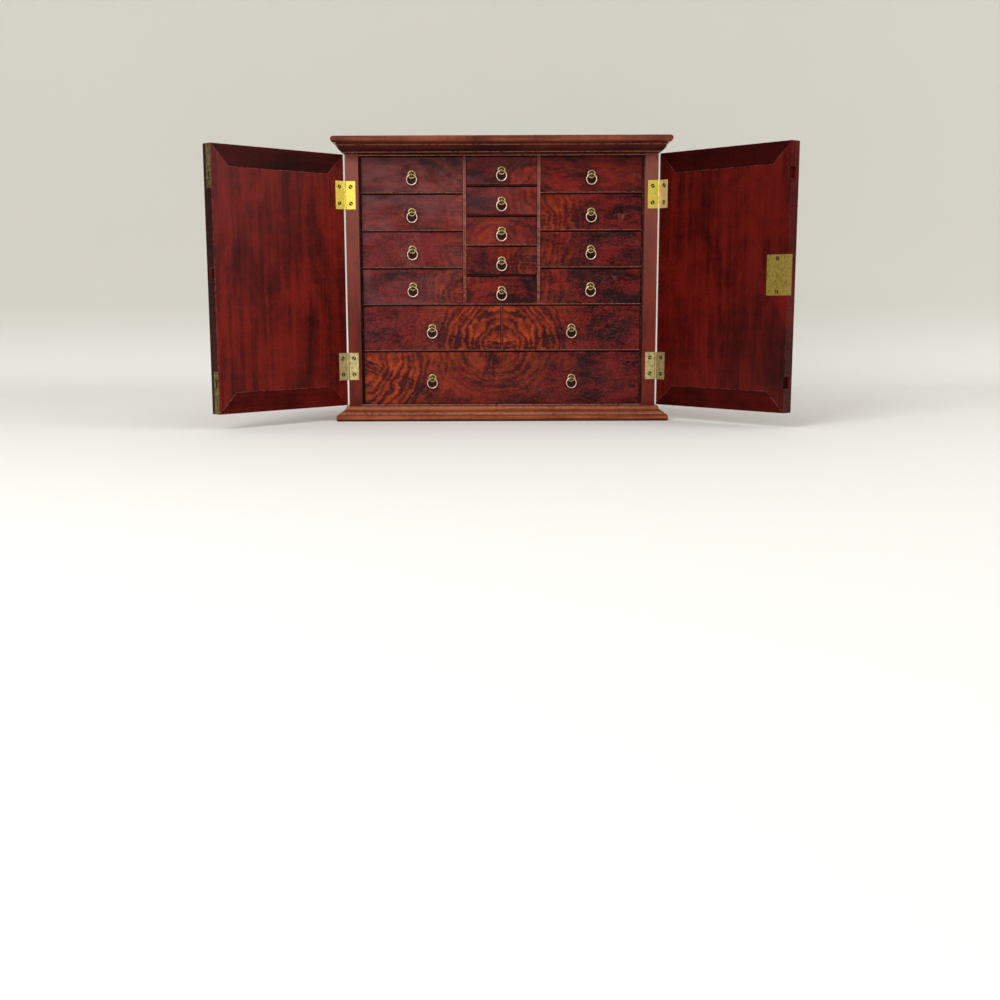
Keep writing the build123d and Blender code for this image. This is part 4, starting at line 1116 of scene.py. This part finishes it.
class CABINET_OT_stage(bpy.types.Operator):
    """Pale floor and backdrop, soft light and the camera"""

    bl_idname = "cabinet.stage"
    bl_label = "Stage"

    def execute(self, context):
        scene = context.scene
        self.add_cove(scene)
        self.add_window(scene)
        self.add_lamps(scene)
        self.add_camera(scene)
        scene.view_settings.view_transform = "Standard"
        return {"FINISHED"}

    def add_cove(self, scene):
        """One sheet: floor, a quarter-round and an upright backdrop."""
        radius, back, width, height, front = 0.35, 1.1, 6.0, 3.5, -5.0
        section = [(front, 0.0)]
        for step in range(13):
            turn = step / 12 * pi / 2
            section.append((back - radius + radius * sin(turn), radius - radius * cos(turn)))
        section.append((back, height))
        cove = bmesh.new()
        left, right = [[cove.verts.new((x, y, z)) for y, z in section] for x in (-width, width)]
        for a, b, c, d in zip(left, right, right[1:], left[1:]):
            cove.faces.new((a, b, c, d))
        mesh = bpy.data.meshes.new("cove")
        cove.to_mesh(mesh)
        cove.free()
        mesh.shade_smooth()
        mesh.materials.append(
            plain_paper("Matt painted board", linear("#d0cec6"), linear("#ecebe8"))
        )
        stage = bpy.data.objects.new("cove", mesh)
        scene.collection.objects.link(stage)

    def add_window(self, scene):
        """A world that is paler overhead, with one soft-edged window ahead of the cabinet."""
        scene.world = bpy.data.worlds.new("Soft room")
        scene.world.use_nodes = True
        tree = scene.world.node_tree
        tree.nodes.clear()
        way = add_node(tree, "TexCoord", out="Generated")
        x, y, z = add_node(tree, "SeparateXYZ", (way,), None).outputs
        ahead = product(tree, y, -1.0)
        ahead = add_node(tree, "Math", (ahead, 0.05), operation="MAXIMUM")
        across, above = [
            add_node(tree, "Math", (value, ahead), operation="DIVIDE") for value in (x, z)
        ]
        edges = [
            add_node(tree, "MapRange", (value, start, end), **SMOOTH)
            for value, start, end in (
                (across, -0.62, -0.5),
                (across, 0.04, -0.06),
                (above, -0.01, 0.04),
                (above, 0.34, 0.24),
                (y, 0.0, -0.2),
            )
        ]
        height = add_node(tree, "MapRange", (z, 0.0, 0.7, 0.16, 0.85))
        strength = weighted_sum(tree, height, ((product(tree, *edges), 1.5),))
        sky = {"Color": linear("#f4f2ee"), "Strength": strength}
        sky = add_node(tree, "Background", sky)
        add_node(tree, "OutputWorld", {"Surface": sky}, None)

    def add_lamps(self, scene):
        """Two broad lamps, high on the left and lower on the right."""
        for name, place, power, size in (
            ("key", (-1.6, -2.6, 1.9), 64.0, 1.6),
            ("fill", (2.4, -1.2, 1.1), 22.0, 1.4),
        ):
            lamp = bpy.data.lights.new(name, "AREA")
            lamp.energy = power
            lamp.shape = "SQUARE"
            lamp.size = size
            lamp_object = bpy.data.objects.new(name, lamp)
            lamp_object.location = place
            aim = Vector((0, 0, 0.22)) - Vector(place)
            lamp_object.rotation_euler = aim.to_track_quat("-Z", "Y").to_euler()
            scene.collection.objects.link(lamp_object)

    def add_camera(self, scene):
        """The camera at the photographed angle, 2.2 m away and level with the lower drawers."""
        pitch, yaw, roll = radians(9.932), radians(-0.205), radians(-0.189)
        ahead = Vector((sin(yaw) * cos(pitch), cos(yaw) * cos(pitch), -sin(pitch)))
        right = Vector((cos(yaw), -sin(yaw), 0))
        up = right.cross(ahead)
        tilted_right = right * cos(roll) + up * sin(roll)
        tilted_up = up * cos(roll) - right * sin(roll)
        camera = bpy.data.cameras.new("camera")
        camera.sensor_width = 36.0
        camera.lens = 36.0 * 1.3513
        camera.shift_x = 0.0113
        camera.shift_y = 0.0328
        camera_object = bpy.data.objects.new("camera", camera)
        turn = Matrix((tilted_right, tilted_up, -ahead)).transposed().to_4x4()
        camera_object.matrix_world = Matrix.Translation((-0.0145, -2.2198, 0.1991)) @ turn
        scene.collection.objects.link(camera_object)
        scene.camera = camera_object


# ---- add-on ---------------------------------------------------------------------
class CABINET_PT_panel(bpy.types.Panel):
    """Lists the cabinet's pieces and settings"""

    bl_idname = "CABINET_PT_panel"
    bl_label = "Specimen cabinet"
    bl_space_type = "VIEW_3D"
    bl_region_type = "UI"
    bl_category = "Cabinet"

    def draw(self, context):
        layout = self.layout
        for operator in OPERATORS:
            layout.operator(operator.bl_idname)
        for group in (context.scene.cabinet_sizes, context.scene.cabinet_colours):
            box = layout.box()
            for name in group.bl_rna.properties.keys():
                if name not in ("rna_type", "name"):
                    box.prop(group, name)


OPERATORS = (
    CABINET_OT_case,
    CABINET_OT_mouldings,
    CABINET_OT_doors,
    CABINET_OT_hinges,
    CABINET_OT_door_brass,
    CABINET_OT_screws,
    CABINET_OT_drawers,
    CABINET_OT_rings,
    CABINET_OT_stage,
)
CLASSES = (CabinetSizes, CabinetColours, *OPERATORS, CABINET_PT_panel)


def register():
    """Register every class and the scene's settings."""
    for cls in CLASSES:
        bpy.utils.register_class(cls)
    bpy.types.Scene.cabinet_sizes = bpy.props.PointerProperty(type=CabinetSizes)
    bpy.types.Scene.cabinet_colours = bpy.props.PointerProperty(type=CabinetColours)


def unregister():
    """Take the settings and classes away again."""
    del bpy.types.Scene.cabinet_colours
    del bpy.types.Scene.cabinet_sizes
    for cls in reversed(CLASSES):
        bpy.utils.unregister_class(cls)


def main():
    """Build every piece in order."""
    register()
    make_materials()
    bpy.ops.cabinet.case()
    bpy.ops.cabinet.mouldings()
    bpy.ops.cabinet.doors()
    bpy.ops.cabinet.hinges()
    bpy.ops.cabinet.door_brass()
    bpy.ops.cabinet.screws()
    bpy.ops.cabinet.drawers()
    bpy.ops.cabinet.rings()
    bpy.ops.cabinet.stage()


if __name__ == "__main__":
    main()
